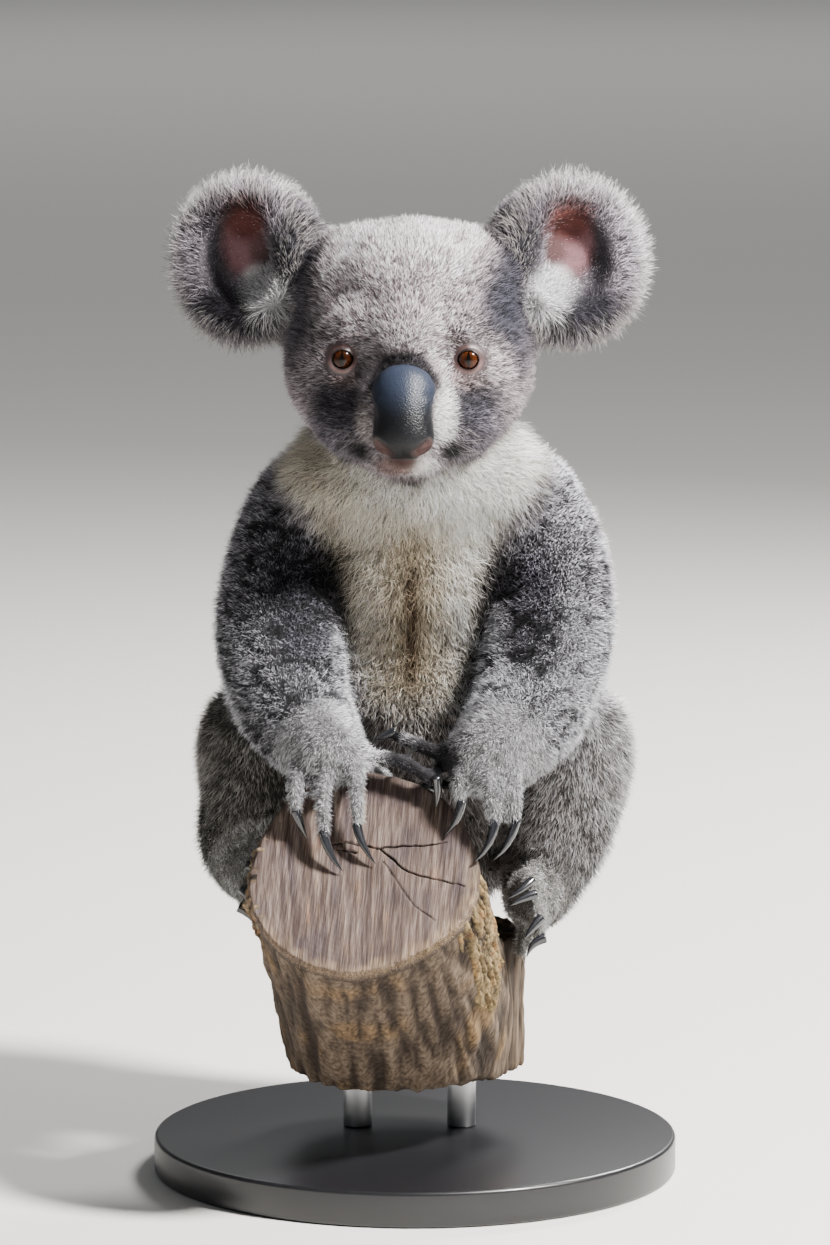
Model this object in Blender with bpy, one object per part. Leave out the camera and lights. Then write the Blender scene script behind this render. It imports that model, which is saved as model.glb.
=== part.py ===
"""A life-size koala sitting on a sawn log, on a plain display stand.

Run with: blender --background --python part.py

Metres, +Z up, +Y towards the animal's back, +X towards its left side.
The origin is the middle of the underside of the stand's round base.
Every solid reaches to the tips of the coat. The log keeps its shape, the
koala's parts are cut back from it and from each other by a thin gap.
"""
import math

import bmesh
import bpy
from mathutils import Euler, Matrix, Vector

CM = 0.01
GAP = 0.0004

# Driving dimensions of the animal and of its log.
HEAD_AT = Vector((-0.3, -0.5, 46.0)) * CM
HEAD_YAW = math.radians(-2.5)
EYE_RADIUS = 0.0075
EYE_SPACING = 0.068
EAR_SPREAD = 0.088
LOG_RADIUS = 0.061
STUB_ROOT_RADIUS = 0.067
STUB_LENGTH = 0.195
TRUNK_RADIUS = 0.064
LOG_FOOT = 0.055
SEAT_HEIGHT = 0.133
CUT_AT = Vector((-2.8, -13.0, 19.1)) * CM
CUT_PITCH = math.radians(40)
CUT_YAW = math.radians(8)
BASE_RADIUS = 0.145
BASE_THICKNESS = 0.020
ROD_RADIUS = 0.008
ROD_SPACING = 0.058
RIGHT, LEFT = -1, 1
SIDE_NAMES = {RIGHT: "right", LEFT: "left"}

# The sawn face has its own frame: across, up the slope, and proud of the wood.
CUT_NORMAL = Vector(
    (
        -math.sin(CUT_YAW) * math.cos(CUT_PITCH),
        -math.cos(CUT_YAW) * math.cos(CUT_PITCH),
        math.sin(CUT_PITCH),
    )
)
CUT_ACROSS = Vector((math.cos(CUT_YAW), -math.sin(CUT_YAW), 0.0))
CUT_UP = CUT_NORMAL.cross(CUT_ACROSS)
TRUNK_AT = Vector((-0.3, 1.5, 0.0)) * CM


def on_cut(across, up, proud):
    """A point given in centimetres in the frame of the sawn face."""
    return CUT_AT + (CUT_ACROSS * across + CUT_UP * up + CUT_NORMAL * proud) * CM


def clear_scene():
    for obj in list(bpy.data.objects):
        bpy.data.objects.remove(obj)


def coat_material(name, colour, roughness=0.8, metallic=0.0):
    material = bpy.data.materials.new(name)
    material.use_nodes = True
    shader = material.node_tree.nodes["Principled BSDF"]
    shader.inputs["Base Color"].default_value = (*colour, 1.0)
    shader.inputs["Roughness"].default_value = roughness
    shader.inputs["Metallic"].default_value = metallic
    return material


def placed(mesh, name, material):
    """A new object from a mesh, shaded smooth apart from its hard edges."""
    obj = bpy.data.objects.new(name, mesh)
    bpy.context.scene.collection.objects.link(obj)
    mesh.materials.clear()
    mesh.materials.append(material)
    mesh.shade_smooth()
    mesh.set_sharp_from_angle(angle=math.radians(50))
    return obj


def evaluated_mesh(obj):
    """The object's mesh with its modifiers applied."""
    graph = bpy.context.evaluated_depsgraph_get()
    return bpy.data.meshes.new_from_object(obj.evaluated_get(graph))


def triangle_count(mesh):
    mesh.calc_loop_triangles()
    return len(mesh.loop_triangles)


# ---------------------------------------------------------------- flesh
def blob(bm, at, radii, turn=(0.0, 0.0, 0.0)):
    """An ellipsoid, in centimetres, turned by degrees about X, Y and Z."""
    rotation = Euler([math.radians(a) for a in turn]).to_matrix().to_4x4()
    place = Matrix.Translation(Vector(at) * CM)
    size = Matrix.Diagonal(Vector((*radii, 1.0 / CM)) * CM)
    bmesh.ops.create_icosphere(bm, subdivisions=3, radius=1.0, matrix=place @ rotation @ size)


def pair(bm, at, radii, turn=(0.0, 0.0, 0.0)):
    """A blob and its mirror image across the middle plane."""
    blob(bm, at, radii, turn)
    blob(bm, (-at[0], at[1], at[2]), radii, (turn[0], -turn[1], -turn[2]))


def smooth_path(stations, steps):
    """Points and radii along a Catmull-Rom curve through (point, radius) stations."""
    ends = [stations[0]] + list(stations) + [stations[-1]]
    found = []
    for i in range(1, len(ends) - 2):
        for k in range(steps):
            t = k / steps
            row = []
            for a, b, c, d in zip(*(list(s[0]) + [s[1]] for s in ends[i - 1:i + 3])):
                cubic = (3 * b - a - 3 * c + d) * t ** 3 + (2 * a - 5 * b + 4 * c - d) * t ** 2
                row.append(b + ((c - a) * t + cubic) / 2)
            found.append((Vector(row[:3]), row[3]))
    return found + [(Vector(stations[-1][0]), stations[-1][1])]


def limb(bm, stations, steps=6):
    """A row of overlapping balls along a smooth path, in metres."""
    for centre, radius in smooth_path(stations, steps):
        place = Matrix.Translation(centre) @ Matrix.Scale(radius, 4)
        bmesh.ops.create_icosphere(bm, subdivisions=2, radius=1.0, matrix=place)


def body_stations(rows):
    """(x, y, z, radius) rows in centimetres as stations in metres."""
    return [(Vector(row[:3]) * CM, row[3] * CM) for row in rows]


def fused(bm, name, material, voxel, smoothing, triangles):
    """Overlapping closed shapes as one smooth closed body of about so many triangles."""
    mesh = bpy.data.meshes.new(name)
    bm.to_mesh(mesh)
    bm.free()
    obj = placed(mesh, name, material)
    remesh = obj.modifiers.new("Remesh", "REMESH")
    remesh.mode = "VOXEL"
    remesh.voxel_size = voxel
    smooth = obj.modifiers.new("Smooth", "SMOOTH")
    smooth.iterations = smoothing
    smooth.factor = 0.5
    fine = evaluated_mesh(obj)
    obj.modifiers.clear()
    obj.data = fine
    decimate = obj.modifiers.new("Decimate", "DECIMATE")
    decimate.ratio = min(1.0, triangles / triangle_count(fine))
    decimate.use_collapse_triangulate = True
    return settled(obj, name, material)


def settled(obj, name, material):
    """Applies what modifiers are left and gives the result its final name."""
    mesh = evaluated_mesh(obj)
    bpy.data.objects.remove(obj)
    mesh.name = name
    return placed(mesh, name, material)


def grown(obj):
    """A hidden cutter a little larger all round than the object."""
    mesh = obj.data.copy()
    cutter = bpy.data.objects.new(obj.name + "_cutter", mesh)
    bpy.context.scene.collection.objects.link(cutter)
    displace = cutter.modifiers.new("Grow", "DISPLACE")
    displace.mid_level = 0.0
    displace.strength = GAP
    cutter.hide_render = True
    cutter.display_type = "WIRE"
    return cutter


def is_closed(mesh):
    bm = bmesh.new()
    bm.from_mesh(mesh)
    closed = len(bm.faces) > 0 and all(e.is_manifold for e in bm.edges) and bm.calc_volume() > 0
    bm.free()
    return closed


def difference(obj, cutter, crossing):
    """What a cutter leaves of the object. Crossing allows a cutter that folds over itself."""
    boolean = obj.modifiers.new("Cut", "BOOLEAN")
    boolean.operation = "DIFFERENCE"
    boolean.solver = "EXACT"
    boolean.use_self = crossing
    boolean.object = cutter
    mesh = evaluated_mesh(obj)
    obj.modifiers.clear()
    keep_main_body(mesh)
    return mesh


def cut_back(obj, *neighbours):
    """Cuts the object back from its neighbours, one by one, and keeps its main body.

    A neighbour that is a hidden cutter already has its gap, and is used as it is.
    """
    for neighbour in neighbours:
        ready = neighbour.hide_render
        cutter = neighbour if ready else grown(neighbour)
        mesh = difference(obj, cutter, crossing=False)
        if not is_closed(mesh):
            mesh = difference(obj, cutter, crossing=True)
        obj.data = mesh
        if not ready:
            bpy.data.objects.remove(cutter)
    obj.data.shade_smooth()
    obj.data.set_sharp_from_angle(angle=math.radians(50))
    return obj


def keep_main_body(mesh):
    """Drops the loose slivers that a cut can leave, and makes every face a triangle."""
    bm = bmesh.new()
    bm.from_mesh(mesh)
    bmesh.ops.remove_doubles(bm, verts=bm.verts, dist=1e-6)
    bmesh.ops.dissolve_degenerate(bm, edges=bm.edges, dist=1e-6)
    islands = []
    unseen = set(bm.verts)
    while unseen:
        island, front = set(), [unseen.pop()]
        while front:
            vert = front.pop()
            island.add(vert)
            for edge in vert.link_edges:
                other = edge.other_vert(vert)
                if other in unseen:
                    unseen.remove(other)
                    front.append(other)
        islands.append(island)
    largest = max(islands, key=len, default=set())
    bmesh.ops.delete(bm, geom=[v for v in bm.verts if v not in largest], context="VERTS")
    bmesh.ops.triangulate(bm, faces=bm.faces[:])
    bm.to_mesh(mesh)
    bm.free()


# ---------------------------------------------------------------- stand and log
def turned(name, material, profile, at, segments=36):
    """A solid of revolution about Z from (radius, height) points."""
    bm = bmesh.new()
    rings = []
    for radius, height in profile:
        ring = []
        for k in range(segments):
            angle = math.tau * k / segments
            ring.append(bm.verts.new((radius * math.cos(angle), radius * math.sin(angle), height)))
        rings.append(ring)
    for low, high in zip(rings, rings[1:]):
        for k in range(segments):
            n = (k + 1) % segments
            bm.faces.new((low[k], low[n], high[n], high[k]))
    bm.faces.new(list(reversed(rings[0])))
    bm.faces.new(rings[-1])
    mesh = bpy.data.meshes.new(name)
    bm.to_mesh(mesh)
    bm.free()
    mesh.transform(Matrix.Translation(at))
    return placed(mesh, name, material)


def stand_base(material):
    bevel = 0.004
    profile = [
        (BASE_RADIUS, 0.0),
        (BASE_RADIUS, BASE_THICKNESS - bevel),
        (BASE_RADIUS - bevel * 0.3, BASE_THICKNESS - bevel * 0.3),
        (BASE_RADIUS - bevel, BASE_THICKNESS),
    ]
    return turned("stand_base", material, profile, Vector((0, 0, 0)))


def stand_rod(side, material):
    low, high = BASE_THICKNESS + GAP, LOG_FOOT - GAP
    at = TRUNK_AT + Vector((side * ROD_SPACING / 2, 0, 0))
    profile = [(ROD_RADIUS, low), (ROD_RADIUS, high)]
    return turned("stand_rod_" + SIDE_NAMES[side], material, profile, at, segments=16)


def wood_round(bm, start, end, across, radii, rings, segments=26):
    """A tapering log length whose girth swells and dips a little, with flat sawn ends."""
    axis = (end - start).normalized()
    up = axis.cross(across).normalized()
    rows = []
    for i in range(rings + 1):
        t = i / rings
        row = []
        for k in range(segments):
            a = math.tau * k / segments
            swell = 1.0 + 0.022 * math.sin(3 * a + 2.0 * t) + 0.014 * math.sin(5 * a - 3.0 * t)
            girth = swell * (radii[0] + (radii[1] - radii[0]) * t)
            side = across * math.cos(a) + up * math.sin(a)
            row.append(bm.verts.new(start.lerp(end, t) + side * girth))
        rows.append(row)
    for low, high in zip(rows, rows[1:]):
        for k in range(segments):
            n = (k + 1) % segments
            bm.faces.new((low[k], low[n], high[n], high[k]))
    bm.faces.new(list(reversed(rows[0])))
    bm.faces.new(rows[-1])
    bmesh.ops.recalc_face_normals(bm, faces=bm.faces)


def log_length(start, end, across, radii, rings, spare):
    """One straight length of the log, grown all round by the spare distance."""
    along = (end - start).normalized() * spare
    grown_radii = [r + spare for r in radii]
    bm = bmesh.new()
    wood_round(bm, start - along, end + along, across, grown_radii, rings)
    bmesh.ops.triangulate(bm, faces=bm.faces[:])
    return bm


def perch_log(name, material, spare=0.0):
    """A stub that leans forwards, united with the upright length that it grew from."""
    far = CUT_AT - CUT_NORMAL * STUB_LENGTH
    foot = TRUNK_AT + Vector((0, 0, LOG_FOOT))
    seat = TRUNK_AT + Vector((0, 0, SEAT_HEIGHT))
    stub = log_length(far, CUT_AT, CUT_ACROSS, (STUB_ROOT_RADIUS, LOG_RADIUS), 5, spare)
    post = log_length(foot, seat, Vector((1, 0, 0)), (TRUNK_RADIUS, TRUNK_RADIUS), 3, spare)
    # The stub's buried end is trimmed a little above the log's foot.
    whole = stub.verts[:] + stub.edges[:] + stub.faces[:]
    above_foot = (0, 0, LOG_FOOT + 0.003 - spare)
    down = (0, 0, -1)
    cut = bmesh.ops.bisect_plane(stub, geom=whole, plane_co=above_foot, plane_no=down, clear_outer=True)
    rim = [g for g in cut["geom_cut"] if isinstance(g, bmesh.types.BMEdge)]
    bmesh.ops.holes_fill(stub, edges=rim)
    objects = []
    for bm in (post, stub):
        mesh = bpy.data.meshes.new(name)
        bm.to_mesh(mesh)
        bm.free()
        objects.append(placed(mesh, "length", material))
    union = objects[0].modifiers.new("Union", "BOOLEAN")
    union.operation = "UNION"
    union.solver = "EXACT"
    union.object = objects[1]
    log = settled(objects[0], name, material)
    bpy.data.objects.remove(objects[1])
    keep_main_body(log.data)
    return log


# ---------------------------------------------------------------- head
def head_frame():
    return Matrix.Translation(HEAD_AT) @ Matrix.Rotation(HEAD_YAW, 4, "Z")


def head(material):
    bm = bmesh.new()
    blob(bm, (0, 1.2, 1.6), (6.5, 5.7, 5.4))
    pair(bm, (2.8, 0.4, 2.9), (3.7, 4.7, 3.8))
    blob(bm, (0, -1.6, 3.6), (4.7, 4.0, 3.2))
    pair(bm, (3.4, -0.3, -0.9), (3.6, 4.9, 4.5))
    pair(bm, (2.3, -2.5, -3.7), (3.1, 3.4, 2.5))
    pair(bm, (2.6, -3.0, 1.5), (2.5, 2.5, 2.2))
    blob(bm, (0, -4.2, 1.2), (2.3, 2.3, 3.0), (-20, 0, 0))
    blob(bm, (0, -5.1, -3.0), (2.9, 2.7, 2.9))
    blob(bm, (0, -4.5, -5.6), (2.5, 2.7, 1.5))
    blob(bm, (0, 0.0, -4.2), (4.4, 4.2, 2.5))
    obj = fused(bm, "head", material, voxel=0.0035, smoothing=8, triangles=530)
    obj.data.transform(head_frame())
    return obj


def eye_socket(side, material):
    """The shallow bowl in the coat that leaves the front of the eyeball bare."""
    bm = bmesh.new()
    place = head_frame() @ Matrix.Translation(eye_place(side) + Vector((side * 0.001, -0.0075, 0)))
    bmesh.ops.create_icosphere(bm, subdivisions=2, radius=0.0088, matrix=place)
    mesh = bpy.data.meshes.new("socket")
    bm.to_mesh(mesh)
    bm.free()
    return placed(mesh, "socket_" + SIDE_NAMES[side], material)


def nose_pad(material):
    bm = bmesh.new()
    blob(bm, (0, -6.6, -1.7), (1.85, 1.45, 1.65), (12, 0, 0))
    blob(bm, (0, -7.2, -3.1), (1.75, 1.45, 1.70), (12, 0, 0))
    blob(bm, (0, -7.5, -4.2), (1.55, 1.45, 1.20))
    pair(bm, (0.88, -7.5, -4.2), (0.85, 1.25, 0.92))
    obj = fused(bm, "nose_pad", material, voxel=0.0016, smoothing=5, triangles=200)
    obj.data.transform(head_frame())
    return obj


def eye_place(side):
    return Vector((side * EYE_SPACING / 2, -0.0445, -0.0035))


def eye(side, material):
    bm = bmesh.new()
    place = head_frame() @ Matrix.Translation(eye_place(side))
    bmesh.ops.create_icosphere(bm, subdivisions=2, radius=EYE_RADIUS, matrix=place)
    mesh = bpy.data.meshes.new("eye")
    bm.to_mesh(mesh)
    bm.free()
    return placed(mesh, "eye_" + SIDE_NAMES[side], material)


def ear(side, material):
    """A cupped disc: a soft rolled rim round a hollow that faces forwards."""
    wide, tall, rim = 3.35, 3.6, 1.35
    bm = bmesh.new()
    blob(bm, (0, 1.0, 0), (wide + 0.9, 0.9, tall + 0.9))
    spokes = 22
    for k in range(spokes):
        a = math.tau * k / spokes
        inward = max(0.0, -side * math.cos(a))
        fluff = rim + 0.35 * inward ** 2 + 0.15 * max(0.0, -math.sin(a))
        at = (wide * math.cos(a), -0.1 - 0.4 * inward, tall * math.sin(a))
        blob(bm, at, (fluff, fluff, fluff))
    blob(bm, (-side * 1.6, 0.3, -2.2), (1.9, 1.1, 1.9))
    obj = fused(bm, "ear_" + SIDE_NAMES[side], material, voxel=0.003, smoothing=4, triangles=240)
    turn = Euler((math.radians(-4), math.radians(side * 6), math.radians(side * 16))).to_matrix()
    spread = EAR_SPREAD - 0.002 * side
    at = Vector((side * spread, 0.016, 0.0445))
    obj.data.transform(head_frame() @ Matrix.Translation(at) @ turn.to_4x4())
    return obj


# ---------------------------------------------------------------- body
def trunk(material):
    bm = bmesh.new()
    blob(bm, (0, 2.8, 33.0), (7.6, 7.0, 6.9))
    blob(bm, (0, 6.9, 30.6), (8.4, 7.2, 9.4), (-8, 0, 0))
    blob(bm, (0, 3.4, 26.0), (8.0, 7.6, 7.0))
    blob(bm, (0, 6.4, 20.9), (8.4, 7.6, 8.2))
    pair(bm, (4.6, 4.2, 36.0), (4.6, 5.8, 5.0))
    return fused(bm, "trunk", material, voxel=0.0055, smoothing=12, triangles=380)


def neck(material):
    bm = bmesh.new()
    blob(bm, (0, 2.8, 39.6), (7.0, 5.5, 4.3))
    blob(bm, (0, -0.4, 38.2), (6.0, 4.2, 3.6))
    blob(bm, (0, 0.2, 35.6), (5.0, 4.0, 3.4))
    pair(bm, (4.0, 1.6, 37.8), (4.0, 4.6, 3.6))
    return fused(bm, "neck", material, voxel=0.005, smoothing=8, triangles=160)


def parted(obj, name, *planes):
    """The share of a closed mesh that lies behind every plane, its cuts closed flat."""
    bm = bmesh.new()
    bm.from_mesh(obj.data)
    for at, away in planes:
        whole = bm.verts[:] + bm.edges[:] + bm.faces[:]
        place = at - away * GAP / 2
        cut = bmesh.ops.bisect_plane(bm, geom=whole, plane_co=place, plane_no=away, clear_outer=True)
        rim = [g for g in cut["geom_cut"] if isinstance(g, bmesh.types.BMEdge)]
        bmesh.ops.holes_fill(bm, edges=rim)
    bmesh.ops.triangulate(bm, faces=bm.faces[:])
    mesh = bpy.data.meshes.new(name)
    bm.to_mesh(mesh)
    bm.free()
    return placed(mesh, name, obj.data.materials[0])


# From shoulder to palm: x, y, z and radius.
ARM_ROWS = {
    RIGHT: [
        (-5.9, 3.6, 36.6, 3.6),
        (-7.0, 1.4, 34.0, 3.8),
        (-7.4, -1.2, 30.4, 3.9),
        (-6.7, -4.6, 27.0, 3.4),
        (-5.4, -7.4, 25.4, 2.7),
        (-4.6, -9.1, 24.8, 2.2),
    ],
    LEFT: [
        (5.9, 3.6, 36.6, 3.7),
        (7.1, 1.4, 34.0, 3.9),
        (7.3, -1.2, 30.4, 4.0),
        (6.4, -4.6, 27.0, 3.5),
        (4.9, -7.8, 25.3, 2.9),
        (3.8, -9.9, 24.7, 2.4),
    ],
}
ELBOW, WRIST = 2, 4

# Each digit of a hand on the sawn face (across, up and proud of it): knuckle,
# middle joint, tip of the finger and point of its claw. Digits 1 and 2 are thumbs.
HAND_DIGITS = {
    RIGHT: {
        "5": ((-3.85, 5.7, 1.2), (-3.9, 4.3, 1.6), (-3.7, 3.1, 1.1), (-3.1, 1.8, 0.15)),
        "4": ((-2.3, 5.8, 1.5), (-2.25, 3.6, 1.7), (-2.1, 1.8, 1.1), (-1.0, -0.1, 0.15)),
        "3": ((-0.6, 5.8, 1.4), (-0.5, 4.1, 1.7), (-0.35, 2.4, 1.1), (0.7, 0.4, 0.15)),
        "2": ((-0.3, 6.4, 1.1), (1.7, 6.1, 1.2), (3.3, 5.2, 0.9), (3.6, 3.9, 0.15)),
        "1": ((-0.6, 6.9, -1.2), (0.2, 6.9, -1.8), (0.9, 6.8, -2.2), (1.6, 6.6, -2.5)),
    },
    LEFT: {
        "3": ((4.6, 5.9, 1.3), (4.85, 4.9, 1.6), (5.05, 3.8, 1.2), (4.2, 2.2, 0.15)),
        "4": ((6.2, 5.8, 1.5), (6.6, 4.2, 1.8), (6.9, 2.7, 1.2), (5.9, 0.6, 0.2)),
        "5": ((7.6, 5.8, 1.1), (7.95, 4.3, 1.4), (8.0, 2.9, 0.9), (6.9, 1.0, -0.2)),
        "2": ((4.6, 6.5, 0.7), (2.7, 7.4, 0.6), (1.2, 8.1, 0.4), (-0.1, 7.9, 0.3)),
        "1": ((4.8, 6.9, -1.2), (4.2, 6.9, -1.9), (3.6, 6.8, -2.4), (2.9, 6.6, -2.6)),
    },
}
PALMS = {
    RIGHT: ((-2.2, 7.3, 0.6), (2.1, 1.4, 1.5)),
    LEFT: ((6.1, 7.3, 0.3), (2.1, 1.6, 1.6)),
}
FINGER_RADIUS = 0.0060
THUMB_RADIUS = 0.0062
CLAW_RADIUS = 0.0030


def finger_radius(digit):
    return THUMB_RADIUS if digit in "12" else FINGER_RADIUS


def hand_flesh(bm, side):
    at, radii = PALMS[side]
    centre = on_cut(*at)
    turn = Matrix((CUT_ACROSS, CUT_UP, CUT_NORMAL)).transposed().to_4x4()
    size = Matrix.Diagonal((*(r * CM for r in radii), 1.0))
    place = Matrix.Translation(centre) @ turn @ size
    bmesh.ops.create_icosphere(bm, subdivisions=3, radius=1.0, matrix=place)
    for digit, points in HAND_DIGITS[side].items():
        knuckle, middle, tip = (on_cut(*p) for p in points[:3])
        radius = finger_radius(digit)
        knob = centre.lerp(knuckle, 0.5)
        limb(bm, [(knob, radius * 1.4), (knuckle, radius), (middle, radius), (tip, radius * 0.92)])


def arm(side, material):
    """A whole arm and hand, parted by thin cuts at the elbow and the wrist."""
    rows = body_stations(ARM_ROWS[side])
    bm = bmesh.new()
    limb(bm, rows)
    hand_flesh(bm, side)
    name = SIDE_NAMES[side]
    whole = fused(bm, "arm_" + name, material, voxel=0.0020, smoothing=4, triangles=780)
    elbow, wrist = rows[ELBOW][0], rows[WRIST][0]
    above = (rows[ELBOW + 1][0] - rows[ELBOW - 1][0]).normalized()
    below = (rows[WRIST + 1][0] - rows[WRIST - 1][0]).normalized()
    upper = parted(whole, "upper_arm_" + name, (elbow, above))
    fore = parted(whole, "forearm_" + name, (elbow, -above), (wrist, below))
    palm = parted(whole, "hand_" + name, (wrist, -below))
    bpy.data.objects.remove(whole)
    return upper, fore, palm


# The left leg, folded with its knee drawn up beside the belly: x, y, z and radius.
THIGH_ROWS = [
    (6.5, 7.0, 20.1, 5.1),
    (7.7, 3.6, 21.8, 4.8),
    (8.6, 0.2, 24.0, 3.8),
    (8.7, -1.0, 24.8, 3.2),
]
SHIN_ROWS = [
    (8.6, -0.9, 23.6, 3.2),
    (8.1, 0.4, 19.8, 3.5),
    (7.3, 0.6, 17.0, 2.8),
    (6.7, 0.2, 15.3, 2.1),
]
# Foot digits: knuckle, tip of the toe and point of its claw. The big toe has no claw.
FOOT_DIGITS = {
    "2": ((6.4, -2.8, 17.1), (6.2, -4.5, 16.9), (5.0, -5.6, 16.2)),
    "3": ((6.6, -2.8, 16.4), (6.3, -4.6, 16.3), (5.1, -5.6, 15.8)),
    "4": ((6.8, -2.8, 15.3), (6.7, -4.8, 14.9), (5.9, -5.8, 14.0)),
    "5": ((6.8, -2.4, 14.4), (6.7, -4.3, 13.9), (6.1, -5.0, 12.9)),
}
BIG_TOE = ((6.3, -0.8, 14.2), (5.8, -1.8, 12.5))
HEEL = (6.8, 0.9, 15.2)
BALL = (6.5, -2.0, 15.7)
# The log leans to the animal's right, so that foot stands further out and higher up.
RIGHT_FOOT_OUT = 2.5
RIGHT_FOOT_UP = 1.6


def leg_point(row, side):
    """A point of the left leg, in centimetres, placed for either side."""
    x, y, z = row[:3]
    if side == RIGHT:
        low = max(0.0, min(1.0, (21.0 - z) / 4.5))
        x += RIGHT_FOOT_OUT * low
        z += RIGHT_FOOT_UP * low
    return Vector((side * x, y, z)) * CM


def leg_stations(rows, side):
    return [(leg_point(row, side), row[3] * CM) for row in rows]


def leg(side, material):
    """A whole leg and foot, parted by thin cuts at the knee and the ankle."""
    bm = bmesh.new()
    limb(bm, leg_stations(THIGH_ROWS, side))
    limb(bm, leg_stations(SHIN_ROWS, side))
    heel, ball = leg_point(HEEL, side), leg_point(BALL, side)
    limb(bm, [(heel, 0.020), (ball, 0.017)])
    for knuckle, tip, _ in FOOT_DIGITS.values():
        toe = [(ball, 0.010), (leg_point(knuckle, side), 0.0070), (leg_point(tip, side), 0.0054)]
        limb(bm, toe)
    limb(bm, [(leg_point(BIG_TOE[0], side), 0.008), (leg_point(BIG_TOE[1], side), 0.006)])
    name = SIDE_NAMES[side]
    whole = fused(bm, "leg_" + name, material, voxel=0.0028, smoothing=4, triangles=540)
    hip, knee, ankle = (leg_point(row, side) for row in (THIGH_ROWS[0], THIGH_ROWS[-1], SHIN_ROWS[-1]))
    up_thigh, down_shin = (hip - knee).normalized(), (ankle - knee).normalized()
    fold = (up_thigh - down_shin).normalized()
    onward = (down_shin + (ball - ankle).normalized()).normalized()
    thigh = parted(whole, "thigh_" + name, (knee, -fold))
    shin = parted(whole, "shin_" + name, (knee, fold), (ankle, onward))
    sole = parted(whole, "foot_" + name, (knee, fold), (ankle, -onward))
    bpy.data.objects.remove(whole)
    return thigh, shin, sole


def claw(name, root, bend, point, inward, material):
    """A tapering hook along the arc root, bend, point, flattened across its bend."""
    steps, sides = 4, 5
    bm = bmesh.new()
    rows = []
    for i in range(steps + 1):
        t = i / steps
        centre = root * (1 - t) ** 2 + bend * 2 * t * (1 - t) + point * t ** 2
        along = ((bend - root) * (1 - t) + (point - bend) * t).normalized()
        flat = along.cross(inward).normalized()
        tall = flat.cross(along).normalized()
        radius = CLAW_RADIUS * (1.0 - 0.88 * t ** 1.7)
        row = []
        for k in range(sides):
            a = math.tau * k / sides
            row.append(bm.verts.new(centre + (flat * math.cos(a) * 0.8 + tall * math.sin(a)) * radius))
        rows.append(row)
    for low, high in zip(rows, rows[1:]):
        for k in range(sides):
            n = (k + 1) % sides
            bm.faces.new((low[k], low[n], high[n], high[k]))
    bm.faces.new(list(reversed(rows[0])))
    bm.faces.new(rows[-1])
    bmesh.ops.recalc_face_normals(bm, faces=bm.faces)
    mesh = bpy.data.meshes.new(name)
    bm.to_mesh(mesh)
    bm.free()
    return placed(mesh, name, material)


def hand_claws(side, material):
    made = []
    for digit, points in HAND_DIGITS[side].items():
        middle, tip, point = (on_cut(*p) for p in points[1:])
        ahead = (tip - middle).normalized()
        bend = tip + ahead * (point - tip).length * 0.55 + CUT_NORMAL * 0.001
        name = "claw_hand_" + SIDE_NAMES[side] + "_" + digit
        made.append(claw(name, tip, bend, point, -CUT_NORMAL, material))
    return made


def foot_claws(side, material):
    made = []
    for digit, points in FOOT_DIGITS.items():
        knuckle, tip, point = (leg_point(p, side) for p in points)
        ahead = (tip - knuckle).normalized()
        bend = tip + ahead * (point - tip).length * 0.5
        name = "claw_foot_" + SIDE_NAMES[side] + "_" + digit
        made.append(claw(name, tip, bend, point, Vector((-side, 0.3, 0)), material))
    return made


def build():
    clear_scene()
    grey = coat_material("grey_coat", (0.20, 0.18, 0.18))
    pale = coat_material("pale_coat", (0.55, 0.50, 0.44))
    leather = coat_material("nose_leather", (0.035, 0.038, 0.050), 0.45)
    amber = coat_material("eye_amber", (0.16, 0.05, 0.015), 0.08)
    horn = coat_material("claw_horn", (0.05, 0.05, 0.055), 0.35)
    wood = coat_material("log_wood", (0.30, 0.20, 0.15), 0.85)
    lacquer = coat_material("stand_lacquer", (0.03, 0.03, 0.03), 0.4)
    steel = coat_material("stand_steel", (0.55, 0.55, 0.56), 0.3, 1.0)

    stand_base(lacquer)
    perch_log("perch_log", wood)
    log = perch_log("log_clearance", wood, GAP)
    log.hide_render = True
    log.display_type = "WIRE"
    skull = head(grey)
    body = cut_back(trunk(grey), log, skull)
    throat = cut_back(neck(pale), body, skull)
    for side in (RIGHT, LEFT):
        cut_back(ear(side, grey), skull, throat)
    cut_back(nose_pad(leather), skull)
    for side in (RIGHT, LEFT):
        socket = eye_socket(side, amber)
        skull = cut_back(skull, socket, eye(side, amber))
        bpy.data.objects.remove(socket)
    for side in (RIGHT, LEFT):
        stand_rod(side, steel)
        thigh, shin, sole = leg(side, grey)
        thigh = cut_back(thigh, body, log)
        shin = cut_back(shin, body, log)
        sole = cut_back(sole, body, log)
        upper, fore, palm = arm(side, grey)
        cut_back(upper, body, throat, thigh, shin)
        cut_back(fore, body, thigh, shin, log)
        palm = cut_back(palm, log)
        for hook in hand_claws(side, horn):
            cut_back(hook, palm, log)
        for hook in foot_claws(side, horn):
            cut_back(hook, sole, log)


build()
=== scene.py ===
# %% [markdown]
# # A life-size koala on its log
#
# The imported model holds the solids: each one reaches out to the tips of the coat. This lesson dresses
# them. One skin goes under the coat, some three hundred thousand small tufts grow from it, and the eyes,
# nose, claws, log and stand get their own fine surfaces. Lengths are in metres, and places on the animal are
# often given in centimetres, because they are easier to read that way.

import math

import bmesh
import bpy
import numpy as np
from mathutils import Matrix, Vector, noise
from mathutils.bvhtree import BVHTree
from mathutils.kdtree import KDTree


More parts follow.
